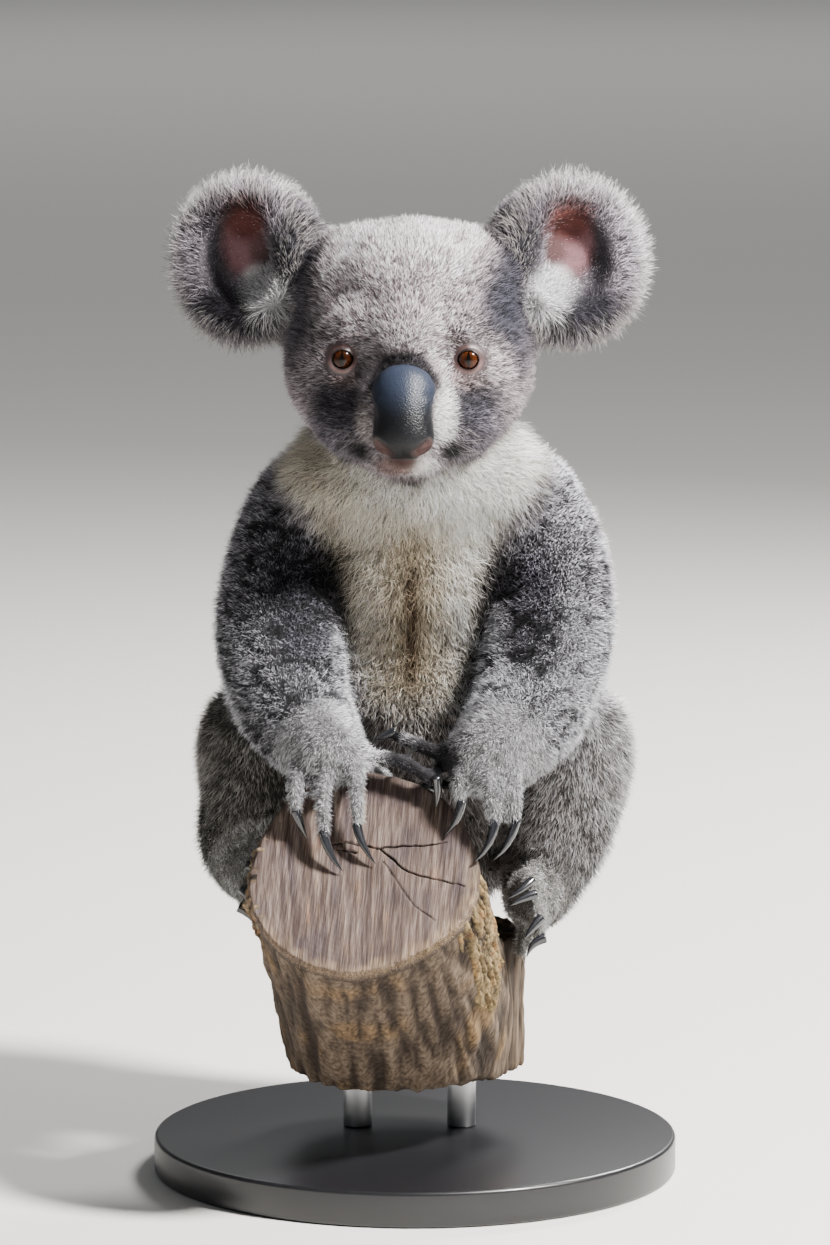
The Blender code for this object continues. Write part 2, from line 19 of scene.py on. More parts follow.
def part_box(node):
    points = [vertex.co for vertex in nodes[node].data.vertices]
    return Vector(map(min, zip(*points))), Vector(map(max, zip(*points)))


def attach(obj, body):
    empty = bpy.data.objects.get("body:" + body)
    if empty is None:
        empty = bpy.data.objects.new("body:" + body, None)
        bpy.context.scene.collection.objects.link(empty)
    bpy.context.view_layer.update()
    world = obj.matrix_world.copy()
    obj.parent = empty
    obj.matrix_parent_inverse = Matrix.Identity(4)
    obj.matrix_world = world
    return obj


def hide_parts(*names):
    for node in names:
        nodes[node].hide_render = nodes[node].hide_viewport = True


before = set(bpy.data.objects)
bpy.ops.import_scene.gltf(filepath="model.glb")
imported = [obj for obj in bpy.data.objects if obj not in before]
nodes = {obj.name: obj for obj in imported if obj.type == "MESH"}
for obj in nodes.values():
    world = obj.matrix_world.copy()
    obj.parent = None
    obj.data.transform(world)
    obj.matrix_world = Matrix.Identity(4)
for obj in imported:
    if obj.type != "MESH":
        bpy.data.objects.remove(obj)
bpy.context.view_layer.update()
MM, CM = 0.001, 0.01
chance = np.random.default_rng(20)

# %% [markdown]
# ## Small helpers
#
# Colours are written as sRGB hex values, as a painter would name them, and turned to the linear values
# that a shader needs. Every finish here is one Principled material, and one helper adds its nodes.


# %% Colours and materials
def linear(code):
    """A colour such as #8a7f70 as linear red, green, blue."""
    parts = np.array([int(code[i : i + 2], 16) / 255 for i in (1, 3, 5)])
    return np.where(parts <= 0.04045, parts / 12.92, ((parts + 0.055) / 1.055) ** 2.4)


def mix(first, second, share):
    """Colours mixed point by point: hex codes or linear rows, and the share of the second one."""
    first, second = (linear(c) if isinstance(c, str) else c for c in (first, second))
    return first + (second - first) * np.reshape(share, (-1, 1))


def add(tree, kind, settings=None, links=None, **values):
    """Adds a node, sets its properties and input values, and links sockets into its inputs."""
    node = tree.nodes.new(kind)
    for key, value in (settings or {}).items():
        setattr(node, key, value)
    for key, value in values.items():
        node.inputs[key.replace("_", " ")].default_value = value
    for key, socket in (links or {}).items():
        tree.links.new(socket, node.inputs[key])
    return node


def material(name, roughness, colour=None, **constants):
    """A Principled material that shows one hex colour, or else the colours painted on the points."""
    made = bpy.data.materials.new(name)
    made.use_nodes = True
    tree = made.node_tree
    shader = tree.nodes["Principled BSDF"]
    for key, value in {"Roughness": roughness, **constants}.items():
        shader.inputs[key.replace("_", " ")].default_value = value
    if colour:
        shader.inputs["Base Color"].default_value = (*linear(colour), 1)
    else:
        painted = add(tree, "ShaderNodeVertexColor", {"layer_name": "coat"})
        tree.links.new(painted.outputs["Color"], shader.inputs["Base Color"])
    return made, tree, shader


def own_space(tree):
    return add(tree, "ShaderNodeTexCoord").outputs["Object"]


def noise_in(tree, place, scale, detail):
    """The value of a noise with about so many lumps to the metre."""
    return add(tree, "ShaderNodeTexNoise", {}, {"Vector": place}, Scale=scale, Detail=detail).outputs["Fac"]


def bump(tree, shader, height, strength, distance):
    """Roughens a surface by a height socket, up to a distance in metres."""
    node = add(tree, "ShaderNodeBump", {}, {"Height": height}, Strength=strength, Distance=distance)
    tree.links.new(node.outputs["Normal"], shader.inputs["Normal"])


def smooth_step(low, high, value):
    t = np.clip((value - low) / (high - low), 0.0, 1.0)
    return t * t * (3 - 2 * t)


print("cream in linear light:", linear("#e8dfd0").round(3))

# %% [markdown]
# ## Meshes from arrays
#
# Numpy arrays are the quick way to make and read large meshes. A mesh is a list of points and a list of
# triangles, and `foreach_set` fills both in one call each.


# %% Reading and writing meshes
def points_of(mesh):
    found = np.empty(len(mesh.vertices) * 3)
    mesh.vertices.foreach_get("co", found)
    return found.reshape(-1, 3)


def normals_of(mesh):
    found = np.empty(len(mesh.vertices) * 3)
    mesh.vertex_normals.foreach_get("vector", found)
    return found.reshape(-1, 3)


def faces_of(mesh, corners):
    """The faces of a mesh whose faces all have so many corners."""
    found = np.empty(len(mesh.loops), np.int64)
    mesh.loops.foreach_get("vertex_index", found)
    return found.reshape(-1, corners)


def mesh_from(name, points, faces):
    mesh = bpy.data.meshes.new(name)
    corners = faces.shape[1]
    mesh.vertices.add(len(points))
    mesh.vertices.foreach_set("co", np.ascontiguousarray(points, np.float32).ravel())
    mesh.loops.add(faces.size)
    mesh.loops.foreach_set("vertex_index", np.ascontiguousarray(faces, np.int32).ravel())
    mesh.polygons.add(len(faces))
    mesh.polygons.foreach_set("loop_start", np.arange(0, faces.size, corners, dtype=np.int32))
    mesh.update(calc_edges=True)
    mesh.shade_smooth()
    return mesh


def piece(name, mesh, finish):
    obj = bpy.data.objects.new(name, mesh)
    bpy.context.scene.collection.objects.link(obj)
    mesh.materials.clear()
    mesh.materials.append(finish)
    return obj


def applied(obj):
    """Replaces an object's mesh by what its modifiers make of it."""
    graph = bpy.context.evaluated_depsgraph_get()
    mesh = bpy.data.meshes.new_from_object(obj.evaluated_get(graph))
    obj.modifiers.clear()
    obj.data = mesh
    return obj


def paint(mesh, name, colours):
    """Stores one linear colour for each point of a mesh."""
    layer = mesh.color_attributes.new(name, "FLOAT_COLOR", "POINT")
    rgba = np.ones((len(colours), 4), np.float32)
    rgba[:, :3] = colours
    layer.data.foreach_set("color", rgba.ravel())


def merged_copy(node):
    """Points and triangles of a solid, with its loose triangles joined."""
    bm = bmesh.new()
    bm.from_mesh(nodes[node].data)
    bmesh.ops.remove_doubles(bm, verts=bm.verts, dist=2e-6)
    bmesh.ops.triangulate(bm, faces=bm.faces[:])
    bm.normal_update()
    points = np.array([v.co for v in bm.verts])
    normals = np.array([v.normal for v in bm.verts])
    faces = np.array([[v.index for v in f.verts] for f in bm.faces])
    bm.free()
    return points, normals, faces


def joined(names, swell):
    """Points and faces of several solids, swollen a little, and the number of each face's solid."""
    stacked, shapes, owners, count = [], [], [], 0
    for number, node in enumerate(names):
        points, normals, faces = merged_copy(node)
        stacked.append(points + normals * swell)
        shapes.append(faces + count)
        owners.append(np.full(len(faces), number))
        count += len(points)
    return map(np.concatenate, (stacked, shapes, owners))


def remeshed(name, names, swell, voxel, rounds, finish):
    """One closed mesh of even squares round some swollen solids, smoothed so many rounds."""
    points, faces, _ = joined(names, swell)
    obj = piece(name, mesh_from(name, points, faces), finish)
    remesh = obj.modifiers.new("Remesh", "REMESH")
    remesh.mode = "VOXEL"
    remesh.voxel_size = voxel
    ease = obj.modifiers.new("Smooth", "SMOOTH")
    ease.iterations = rounds
    return applied(obj)


def shift_points(obj, points):
    obj.data.vertices.foreach_set("co", np.ascontiguousarray(points, np.float32).ravel())
    obj.data.update()


def tree_of(points, faces):
    """A search tree over a mesh, for nearest points and rays."""
    return BVHTree.FromPolygons([tuple(p) for p in points], [tuple(f) for f in faces])


print("head solid:", len(merged_copy("head")[0]), "points")

# %% [markdown]
# ## The skin
#
# The flesh is many solids with thin gaps between them. A voxel remesh of slightly swollen copies joins
# them into one skin without a seam. Every point of it is then labelled with the solid it lies nearest
# to, so that later steps know what is an arm and what is a cheek.

# %% Join the flesh
SIDES = ("left", "right")
LIMB_PARTS = ("upper_arm", "forearm", "hand", "thigh", "shin", "foot")
FLESH = ["head", "neck", "trunk"]
FLESH += [f"{part}_{side}" for part in ("ear", *LIMB_PARTS) for side in SIDES]
VOXEL = 2.6 * MM
SWELL = 0.7 * MM

flesh_points, flesh_faces, flesh_owner = joined(FLESH, SWELL)
flesh_tree = tree_of(flesh_points, flesh_faces)
under_wool = material("skin under the coat", 0.8, Specular_IOR_Level=0.2)[0]
skin = remeshed("skin", FLESH, SWELL, VOXEL, 6, under_wool)


def owner_of(points):
    """The number in FLESH of the solid that each point lies nearest to."""
    return np.array([flesh_owner[flesh_tree.find_nearest(Vector(p))[2]] for p in points])


skin_points = points_of(skin.data)
skin_quads = faces_of(skin.data, 4)
skin_owner = owner_of(skin_points)
print("skin:", len(skin_points), "points,", len(skin_quads), "faces")

# %% [markdown]
# ## Spreading values over the skin
#
# Coat depth, hair length and the lie of the hair are first set for each part and then averaged along
# the skin's edges, so that they change gently from one part to the next.

# %% Average along edges
EDGES = np.empty(len(skin.data.edges) * 2, np.int64)
skin.data.edges.foreach_get("vertices", EDGES)
EDGES = EDGES.reshape(-1, 2)
NEIGHBOURS = np.bincount(EDGES.ravel(), minlength=len(skin_points))[:, None]


def spread(values, rounds):
    """Averages each point's value with its neighbours' so many times."""
    values = values.reshape(len(values), -1).astype(float)
    for _ in range(rounds):
        total = np.empty_like(values)
        for column in range(values.shape[1]):
            ahead, behind = values[EDGES[:, 1], column], values[EDGES[:, 0], column]
            total[:, column] = np.bincount(EDGES[:, 0], ahead, len(values))
            total[:, column] += np.bincount(EDGES[:, 1], behind, len(values))
        values = 0.5 * values + 0.5 * total / NEIGHBOURS
    return values


# %% The coat, part by part
# Depth and thickness are in millimetres, slant is in degrees, crowding and loose are tufts and long hairs
# to the square millimetre, fineness packs the furrows closer, and the rest are strengths from 0 to 1.
COLUMNS = "depth slant thickness crowding furrowed fineness crisp frosting loose".split()
COAT = {
    "head": (3.6, 50, 0.48, 1.75, 0.60, 1.9, 0.3, 0.30, 0.00),
    "ear": (4.0, 38, 0.50, 1.00, 0.20, 1.5, 0.0, 0.40, 0.35),
    "neck": (6.5, 38, 0.68, 0.95, 0.60, 1.0, 0.3, 0.25, 0.03),
    "trunk": (6.5, 50, 0.84, 0.58, 0.75, 1.0, 0.4, 0.28, 0.02),
    "upper_arm": (4.8, 62, 0.68, 1.15, 1.00, 1.0, 1.0, 0.32, 0.04),
    "forearm": (3.8, 58, 0.62, 1.25, 1.00, 1.0, 1.0, 0.40, 0.04),
    "hand": (2.3, 38, 0.54, 1.35, 0.70, 2.0, 0.6, 0.40, 0.00),
    "thigh": (6.0, 56, 0.84, 0.80, 0.75, 1.0, 0.5, 0.30, 0.03),
    "shin": (4.6, 50, 0.72, 0.85, 0.70, 1.0, 0.5, 0.30, 0.03),
    "foot": (2.4, 34, 0.55, 1.30, 0.60, 2.0, 0.4, 0.35, 0.00),
}


def on_skin(table):
    """The row or value of a table for each skin point, looked up by the start of its solid's name."""
    return np.array([next(v for k, v in table.items() if name.startswith(k)) for name in FLESH])[skin_owner]


def by_part(column, rounds=0):
    """A column of the coat's table over the skin, averaged so many rounds."""
    return spread(on_skin(COAT)[:, COLUMNS.index(column)], rounds)[:, 0]


# %% Ease the collar
# Where the neck's collar meets the trunk and the arms, the skin is eased until no step shows.
COLLAR_HEIGHT = 0.36
eased = np.exp(-(((skin_points[:, 2] - COLLAR_HEIGHT) / 0.030) ** 2))[:, None]
for _ in range(45):
    skin_points = skin_points + (spread(skin_points, 1) - skin_points) * eased
shift_points(skin, skin_points)
print("eased points round the collar:", int((eased > 0.5).sum()))


# %% [markdown]
# ## Where things are on the animal
#
# The eyes, the nose and the hands are found from their solids, so that the dressing follows the model
# when its sizes change.


# %% Landmarks
def centre_of(node):
    low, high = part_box(node)
    return np.array((low + high) / 2)


EYE = {side: centre_of(f"eye_{side}") for side in SIDES}
EYE_RADIUS = float(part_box("eye_left")[1].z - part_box("eye_left")[0].z) / 2
NOSE = centre_of("nose_pad")
MIDDLE = (EYE["left"] + EYE["right"]) / 2
ACROSS = (EYE["left"] - EYE["right"]) / np.linalg.norm(EYE["left"] - EYE["right"])
FORWARD = np.cross(np.array([0, 0, 1.0]), -ACROSS)
SKY = np.array([0, 0, 1.0])
HEAD_TURN = np.array([ACROSS, -FORWARD, SKY])


def on_head(points):
    """Places in centimetres in the head's own frame: left, back and up from between the eyes."""
    return (points - MIDDLE) @ HEAD_TURN.T / CM


THUMBS = [centre_of(f"claw_hand_{side}_{digit}") / CM for side in SIDES for digit in (1, 2)]
print("eyes", {k: (v / CM).round(1) for k, v in EYE.items()}, "radius mm", EYE_RADIUS / MM)
print("nose from between the eyes, cm:", on_head(NOSE).round(1))

# %% [markdown]
# ## Depth of the coat
#
# A koala's coat is woolly and stands over half a centimetre deep on its neck and back, thins out on the
# arms, and is only a few millimetres deep on the face, hands and feet. The skin is drawn in by that
# depth, in small steps with a little smoothing between them, which keeps the fingers from folding
# through themselves.

# %% Draw the skin in
def on_ear(points, side):
    """Places in centimetres from an ear's middle: outwards from the head, back and up."""
    here = (points - centre_of(f"ear_{side}")) @ HEAD_TURN.T / CM
    here[:, 0] *= 1 if side == "left" else -1
    return here


depth = by_part("depth") * MM
normals = normals_of(skin.data)
on_face = on_head(skin_points)
is_head = skin_owner == FLESH.index("head")
muzzle = np.exp(-(np.linalg.norm((on_face - [0, -2.5, -3.0]) / [3.6, 3.5, 3.2], axis=1) ** 2))
eye_far = np.min([np.linalg.norm(skin_points - EYE[side], axis=1) for side in SIDES], axis=0)
near_eye = np.exp(-((eye_far / (1.3 * CM)) ** 4))
depth = np.where(is_head, depth * (1 - 0.55 * muzzle) * (1 - 0.6 * near_eye), depth)
for side in SIDES:
    own = skin_owner == FLESH.index(f"ear_{side}")
    outward, _, upward = on_ear(skin_points[own], side).T
    from_middle = np.hypot(outward, upward)
    hollow = (1 - smooth_step(2.2, 3.1, from_middle)) * smooth_step(0.0, 0.5, normals[own] @ FORWARD)
    rim = smooth_step(2.4, 3.6, from_middle) * smooth_step(-3.5, -1.5, outward)
    depth[own] = (4.0 + 3.4 * rim) * (1 - 0.75 * hollow) * MM
depth = spread(depth, 10)[:, 0]
STEPS = 6
for _ in range(STEPS):
    inward = -normals_of(skin.data) * depth[:, None] / STEPS
    skin_points = points_of(skin.data) + spread(inward, 1)
    shift_points(skin, skin_points)
skin_normals = normals_of(skin.data)
print("coat depth mm:", (depth.min() / MM).round(1), "to", (depth.max() / MM).round(1))

# %% [markdown]
# ## The lie of the hair
#
# Hair lies away from the nose over the face, down the neck and back, and along each limb towards the
# fingers. A direction is set for each part, averaged over the skin, and laid flat on its surface.


# %% Directions
def towards(points, target):
    away = target - points
    return away / np.linalg.norm(away, axis=1, keepdims=True)


def towards_nearest(points, claws):
    """Directions to whichever claw is nearest, so that hair runs out along each digit."""
    ends = np.array([centre_of(c) for c in claws])
    far = np.linalg.norm(points[:, None] - ends[None], axis=2)
    return towards(points, ends[far.argmin(1)])


# On a limb the hair aims at the middle of the next part, moved by so many centimetres.
NEXT = {"upper_arm": ("forearm", (0, 0, 0)), "forearm": ("hand", (0, -4, -3))}
NEXT.update({"thigh": ("shin", (0, 0, -6)), "shin": ("foot", (0, 0, 0))})
lie = np.zeros_like(skin_points)
lie[:] = (0, 0.1, -1)
for number, name in enumerate(FLESH):
    own = skin_owner == number
    here = skin_points[own]
    kind, _, side = name.rpartition("_")
    if name == "head":
        from_nose = -towards(here, NOSE - np.array([0, 0.5, 0.5]) * CM)
        back = smooth_step(1.0, 5.0, on_head(here)[:, 1])[:, None]
        lie[own] = from_nose * (1 - back) + np.array([0, 0.3, -1.0]) * back
    elif kind == "ear":
        outward, _, upward = on_ear(here, side).T
        from_middle = np.hypot(outward, upward)[:, None]
        radial = -towards(here, centre_of(name) + np.array([0, 0.3, -0.4]) * CM)
        fan = np.stack([outward + 2.8, -0.3 + 0 * outward, upward + 2.6], axis=1)
        fan[:, 0] *= 1 if side == "left" else -1
        inside = 1 - smooth_step(2.4, 3.4, from_middle)
        lie[own] = radial * (1 - inside) + fan @ HEAD_TURN / 3 * inside
    elif kind in NEXT:
        target, moved = NEXT[kind]
        lie[own] = towards(here, centre_of(f"{target}_{side}") + np.array(moved) * CM)
    elif kind in ("hand", "foot"):
        lie[own] = towards_nearest(here, [n for n in nodes if n.startswith(f"claw_{name}")])


def flat_on(directions, normals):
    """Directions laid flat on the surface, each one metre long."""
    flat = directions - normals * (directions * normals).sum(1, keepdims=True)
    return flat / np.maximum(np.linalg.norm(flat, axis=1, keepdims=True), 1e-9)


lie = flat_on(spread(flat_on(lie, skin_normals), 14), skin_normals)
print("hair points down on", round(float((lie[:, 2] < 0).mean()), 2), "of the skin")

# %% [markdown]
# ## An unwrap of the skin
#
# Each tuft takes its root's place on the skin's unwrap as its own, so the skin is unwrapped once by its own
# shape. Smart UV Project cuts it into charts by the way its faces point and packs them in one square.

# %% Unwrap
bpy.context.view_layer.objects.active = skin
skin.select_set(True)
bpy.ops.object.mode_set(mode="EDIT")
bpy.ops.mesh.select_all(action="SELECT")
bpy.ops.uv.smart_project(angle_limit=math.radians(66), island_margin=0.002)
bpy.ops.object.mode_set(mode="OBJECT")
skin.data.uv_layers[0].name = "OFBake"
skin_uv = np.empty(len(skin.data.loops) * 2)
skin.data.uv_layers[0].uv.foreach_get("vector", skin_uv)
skin_uv = skin_uv.reshape(-1, 4, 2)
print("unwrapped faces:", len(skin_uv))

# %% [markdown]
# ## Markings
#
# A koala is grey with a cream bib, dark hollows inside the upper arms, pale hands and feet, dark
# temples, and a rump dappled with white. Some patches are painted shade and shadow instead: the hollows
# beside the bib are deepened to near-black, the side away from the key light is darker, and shadows lie
# under the chin and below an ear. Each marking is a soft patch in space: an ellipsoid that is 1 in its
# middle and fades to 0 past its edge. Patches are mixed over the base colour one after another.


# %% Soft patches
def patch(points, at, size, edge=0.35):
    """1 inside an ellipsoid of half-lengths size about at (both in cm), fading out across its edge."""
    reach = np.linalg.norm((points - at) / size, axis=1)
    return 1 - smooth_step(1 - edge, 1 + edge, reach)


def noise_at(points, wave, seed=0.0):
    """Smooth noise from about -1 to 1, with lumps a given number of metres apart."""
    shift = Vector((seed * 7.1, seed * 3.3, seed * 5.7))
    return np.array([noise.noise(Vector(p) / wave + shift) for p in points])


def part(*starts):
    """1 on the parts whose names start so, and 0 elsewhere."""
    return np.isin(skin_owner, [i for i, n in enumerate(FLESH) if n.startswith(starts)]).astype(float)


nose_points, _, nose_faces = merged_copy("nose_pad")
nose_tree = tree_of(nose_points, nose_faces)
nose_far = np.full(len(skin_points), 9.0)
for index in np.flatnonzero(is_head):
    nose_far[index] = nose_tree.find_nearest(Vector(skin_points[index]))[3] / CM
body = skin_points / CM
both_sides = np.c_[np.abs(body[:, 0]), body[:, 1:]]
face = on_head(skin_points)
level = face[:, 2]
halves = np.c_[np.abs(face[:, 0]), face[:, 1:]]
from_eyes = [np.linalg.norm((skin_points - EYE[side]) @ np.c_[ACROSS, SKY], axis=1) for side in SIDES]
eye_ring = np.min(from_eyes, axis=0)
forwards = smooth_step(-0.15, 0.35, skin_normals @ FORWARD)
rough = 0.5 * noise_at(skin_points, 9 * MM, 1) + 0.35 * noise_at(skin_points, 4 * MM, 2)
x, y, z = body.T

# %% The ears' rim, inner lump and white tuft
is_ear = part("ear")
ear_out, ear_up = np.full(len(skin_points), 9.0), np.zeros(len(skin_points))
for side in SIDES:
    own = part(f"ear_{side}") > 0
    ear_out[own], _, ear_up[own] = on_ear(skin_points[own], side).T
on_either = np.stack([ear_out, ear_up], axis=1)
ear_front = is_ear * forwards
fringe = is_ear * smooth_step(2.7, 3.7, np.hypot(ear_out, ear_up)) * smooth_step(-4.0, -2.0, ear_out)
lump = is_ear * smooth_step(-0.5, 0.2, skin_normals @ FORWARD) * patch(on_either, (-3.1, 0.7), (1.5, 1.9), 0.35)
tassel = ear_front * patch(on_either, (-1.0, -1.6), (1.35, 1.3), 0.35)
hollow = ear_front * patch(on_either, (0.0, 1.1), (1.2, 1.9), 0.25)
print("points on the ears:", int(is_ear.sum()))

# %% The bib
half = np.interp(z, [23.5, 25, 27, 30.3, 33.7, 36.8, 39, 42], [0.4, 1.4, 2.4, 3.3, 3.8, 5.0, 7.0, 7.4])
bib = smooth_step(-0.7, 0.7, half - np.abs(x + 0.2) + 0.8 * rough)
bib = bib * forwards * part("neck", "trunk", "upper_arm") * smooth_step(24, 28, z)
bib = spread(bib, 2)[:, 0]
from_parting = np.abs(x + 0.2 + 0.3 * rough)
parting = np.exp(-((from_parting / 0.32) ** 2)) * smooth_step(27, 29, z) * (1 - smooth_step(33, 35, z))
tan = np.exp(-((from_parting / 2.3) ** 2)) * smooth_step(24, 28, z) * (1 - smooth_step(35.0, 39.5, z))

# %% Mix the markings
BASE = {"head": "#b1a6ab", "ear": "#9b949d", "neck": "#aba5a9", "trunk": "#a09a9a"}
BASE.update({"upper_arm": "#bab8c2", "forearm": "#e2e2ea", "hand": "#dddce0"})
BASE.update({"thigh": "#b3aeb2", "shin": "#b8b5b6", "foot": "#c6c3bf"})
coat_colour = spread(on_skin({name: linear(code) for name, code in BASE.items()}), 20)
is_arm, is_head_part = part("upper_arm", "forearm"), part("head")
is_front = part("neck", "trunk", "upper_arm")
thumb = np.max([patch(body, at, (1.4, 1.3, 1.1), 0.3) for at in THUMBS], axis=0)
thumb = np.maximum(thumb, patch(body, (0.5, -10.5, 24.4), (2.4, 2.2, 1.7), 0.3))
by_nose = is_head_part * (1 - smooth_step(0.25, 0.6, nose_far)) * smooth_step(-2.1, -1.1, level)


def on_face_at(at, size, edge, where=halves):
    return is_head_part * patch(where, at, size, edge)


def in_ears(at, size, edge):
    return ear_front * patch(on_either, at, size, edge)


# Each layer is a colour and how much of it covers each point of the skin.
LAYERS = [
    # The backs and hollows of the arms, and painted shade on the fronts of the arm and leg on the animal's
    # right, the side away from the key light.
    ("#7a767e", 0.7 * part("upper_arm", "trunk") * (1 - forwards) * patch(body, (0, 5, 30), (9, 4, 9))),
    ("#454350", 0.85 * is_arm * patch(both_sides, (6.2, -5, 33), (1.9, 4, 5.0), 0.5)),
    ("#5d5f69", (0.25 * is_arm + 0.25 * part("forearm")) * forwards * smooth_step(1, -5, x)),
    ("#4c493f", 0.75 * part("thigh", "shin") * smooth_step(2, -6, x) * smooth_step(6, -2, y)),
    # The bib; beside it the hollows between chest and arms, dark fur painted near-black as the shade in those
    # creases; the bib's tan middle and its parting.
    ("#fffaf0", bib),
    # The bib's side on the animal's right is tinted tan: partly a stain, partly painted shade away from the key
    # light.
    ("#b9a684", 0.55 * bib * smooth_step(0, -5, x)),
    ("#131217", 0.98 * is_front * patch(both_sides, (4.6, -5, 32.3), (1.4, 6, 4.2), 0.5)),
    ("#a69272", 0.85 * bib * tan),
    ("#4a301b", 0.92 * bib * parting),
    # The belly and the dappled rump.
    ("#7b7573", 0.75 * part("trunk") * forwards * patch(body, (-0.3, -5, 22), (6, 8, 4.5))),
    ("#dcd5cf", 0.65 * patch(body, (0, 9, 17), (8, 6, 5)) * smooth_step(0.0, 0.5, rough + 0.1)),
    # Crown, brow, temples and cheeks.
    ("#d6cacd", 0.9 * on_face_at((0, 3.5, 5.3), (5.6, 6.0, 3.4), 0.5)),
    ("#c9bbbf", 0.7 * on_face_at((0, -1.0, 2.6), (3.8, 4.0, 2.4), 0.6)),
    ("#34343f", 0.80 * on_face_at((6.1, 2.2, 2.4), (1.4, 3.2, 4.0), 0.5)),
    ("#2c2a34", 0.92 * part("head", "ear") * patch(halves, (6.0, 2.6, 6.0), (1.6, 3.4, 2.2), 0.5)),
    # Painted shadow of the ear on the temple on the animal's left, the side the key light falls on.
    ("#2f303c", 0.92 * on_face_at((5.2, 0.5, 2.9), (1.7, 3.2, 2.9), 0.6, face)),
    ("#2a2a35", 0.92 * on_face_at((3.6, -1.2, -2.4), (2.0, 3.2, 1.6), 0.6)),
    ("#575560", 0.80 * on_face_at((4.3, 0.0, -4.8), (2.4, 3.6, 1.8), 0.6)),
    ("#d8cdd0", 0.5 * on_face_at((0.0, -2.2, 1.3), (2.3, 2.0, 1.1), 0.5)),
    ("#cfc2c4", 0.7 * on_face_at((3.7, -1.0, -0.1), (2.0, 2.0, 1.3), 0.6, face)),
    # Beside and above the nose, the chin, the mouth and the lip.
    ("#fffdfb", 0.97 * on_face_at((2.2, -3.0, -3.0), (0.6, 2.4, 1.9), 0.4, face)),
    # The white stripe beside the nose on the animal's right is painted grey, as shade away from the key light.
    ("#b5aca6", 0.80 * on_face_at((-2.1, -3.0, -3.4), (0.40, 2.0, 1.0), 0.5, face)),
    ("#131218", 0.97 * by_nose),
    # Painted shadow under the chin, where it overhangs the bib.
    ("#2c282d", 0.85 * on_face_at((0, 0.0, -6.8), (3.0, 3.0, 0.5), 0.5)),
    ("#f6f1ef", 0.97 * on_face_at((0.9, -3.0, -5.8), (1.25, 2.6, 0.8), 0.3, face)),
    # The chin's half on the animal's right is pink-brown lip colour darkened as painted shade.
    ("#7d635c", 0.80 * on_face_at((-0.8, -3.0, -5.75), (1.0, 2.6, 0.7), 0.4, face)),
    ("#7b605a", 0.80 * on_face_at((0.1, -2.6, -5.75), (0.55, 2.0, 0.5), 0.5, face)),
    ("#141217", 0.97 * on_face_at((2.4, -1.2, -4.85), (0.75, 1.8, 0.6), 0.6)),
    ("#4c3532", 0.95 * on_face_at((0, -2.6, -5.3), (0.9, 1.6, 0.34), 0.5)),
    # Under the eyes, and the bare thumbs.
    ("#8d7470", 0.6 * on_face_at((3.2, -1.4, -1.0), (0.8, 1.6, 0.6), 0.6)),
    ("#27252c", 0.95 * thumb * part("hand")),
    # Inside the ears.
    ("#56515b", 0.6 * is_ear * smooth_step(0.5, -3, ear_up)),
    ("#35333d", 0.70 * in_ears((1.6, 0.2), (0.7, 2.6), 0.5)),
    ("#3f3b45", 0.65 * in_ears((0.0, 3.0), (1.9, 0.6), 0.5)),
    ("#765257", 0.95 * in_ears((0.0, 1.0), (1.45, 2.1), 0.2)),
    ("#451d17", 0.90 * in_ears((0.0, 2.2), (1.3, 1.1), 0.4)),
    ("#3a2a28", 0.70 * in_ears((-0.8, 0.5), (0.6, 1.0), 0.5)),
    ("#e2e2e5", 0.95 * tassel),
    ("#2b2933", 0.92 * in_ears((1.3, -2.7), (1.7, 1.0), 0.5)),
    ("#34323c", 0.85 * in_ears((-1.0, -3.6), (1.8, 0.8), 0.5)),
    ("#292730", 0.85 * lump),
]
for code, share in LAYERS:
    coat_colour = mix(coat_colour, code, np.clip(share, 0, 1))
mottled = 0.18 + 0.22 * part("upper_arm", "forearm", "thigh", "trunk")
coat_colour = coat_colour * (1 + mottled * rough)[:, None]
print("coat colour from", coat_colour.min(0).round(3), "to", coat_colour.max(0).round(3))

# %% [markdown]
# ## Furrows in the wool
#
# On the arms, thighs and back the wool breaks into low waves about a centimetre across, with crinkled
# furrows between them that run mostly round the limb. A furrow is where a noise that is stretched sideways
# crosses zero, and a second noise breaks the lines up. Wool that ends in a furrow is short, and is painted
# dark as the shade in the furrow.


# %% Furrows
def creased(points, fineness):
    """1 in the bottom of a furrow and 0 on the waves, for places near the skin; fineness packs them closer."""
    packed = points * fineness[:, None]
    lines = noise_at(packed * (0.45, 0.45, 1.0), 8.5 * MM, 21) + 0.22 * noise_at(packed, 3.0 * MM, 23)
    broken = smooth_step(-0.40, -0.05, noise_at(packed, 15 * MM, 22))
    return (1 - smooth_step(0.05, 0.20, np.abs(lines))) * broken


furrowed = by_part("furrowed", 8) * (1 - 0.6 * bib) * (1 - 0.7 * muzzle * is_head)
fineness = by_part("fineness")
in_furrow = furrowed * creased(skin_points, fineness)
crisp = by_part("crisp", 8) * (1 - bib)
print("skin in furrows:", (in_furrow > 0.4).mean().round(3))

# %% Bare skin colour
chin = on_face_at((0, -3.0, -5.8), (2.0, 2.6, 1.0), 0.4)
shaven = np.clip(hollow + on_face_at((0, -2.6, -5.3), (0.8, 1.6, 0.3), 0.4), 0, 1)
# Under the wool the skin is painted dark like the wool's roots, and darker still in the furrows and under the
# arms' crisp wool, as painted shade; bare places are lighter.
skin_tone_and_painted_shade = (0.30 + 0.55 * np.maximum(shaven, 0.7 * chin)) * (1 - 0.8 * in_furrow) * (1 - 0.6 * crisp)
paint(skin.data, "coat", coat_colour * skin_tone_and_painted_shade[:, None])
print("bare skin shows on", int((shaven > 0.5).sum()), "points")

# %% [markdown]
# ## One tuft
#
# A tuft is a lock of wool: three-sided, widest at its root and drawn to a point. Short wool is straight,
# and long hair is bowed in its middle. Each tuft is closed at the root, so it is a true solid. Thousands
# are made at once from arrays: each row of an array holds one tuft's root, direction, length and colours.


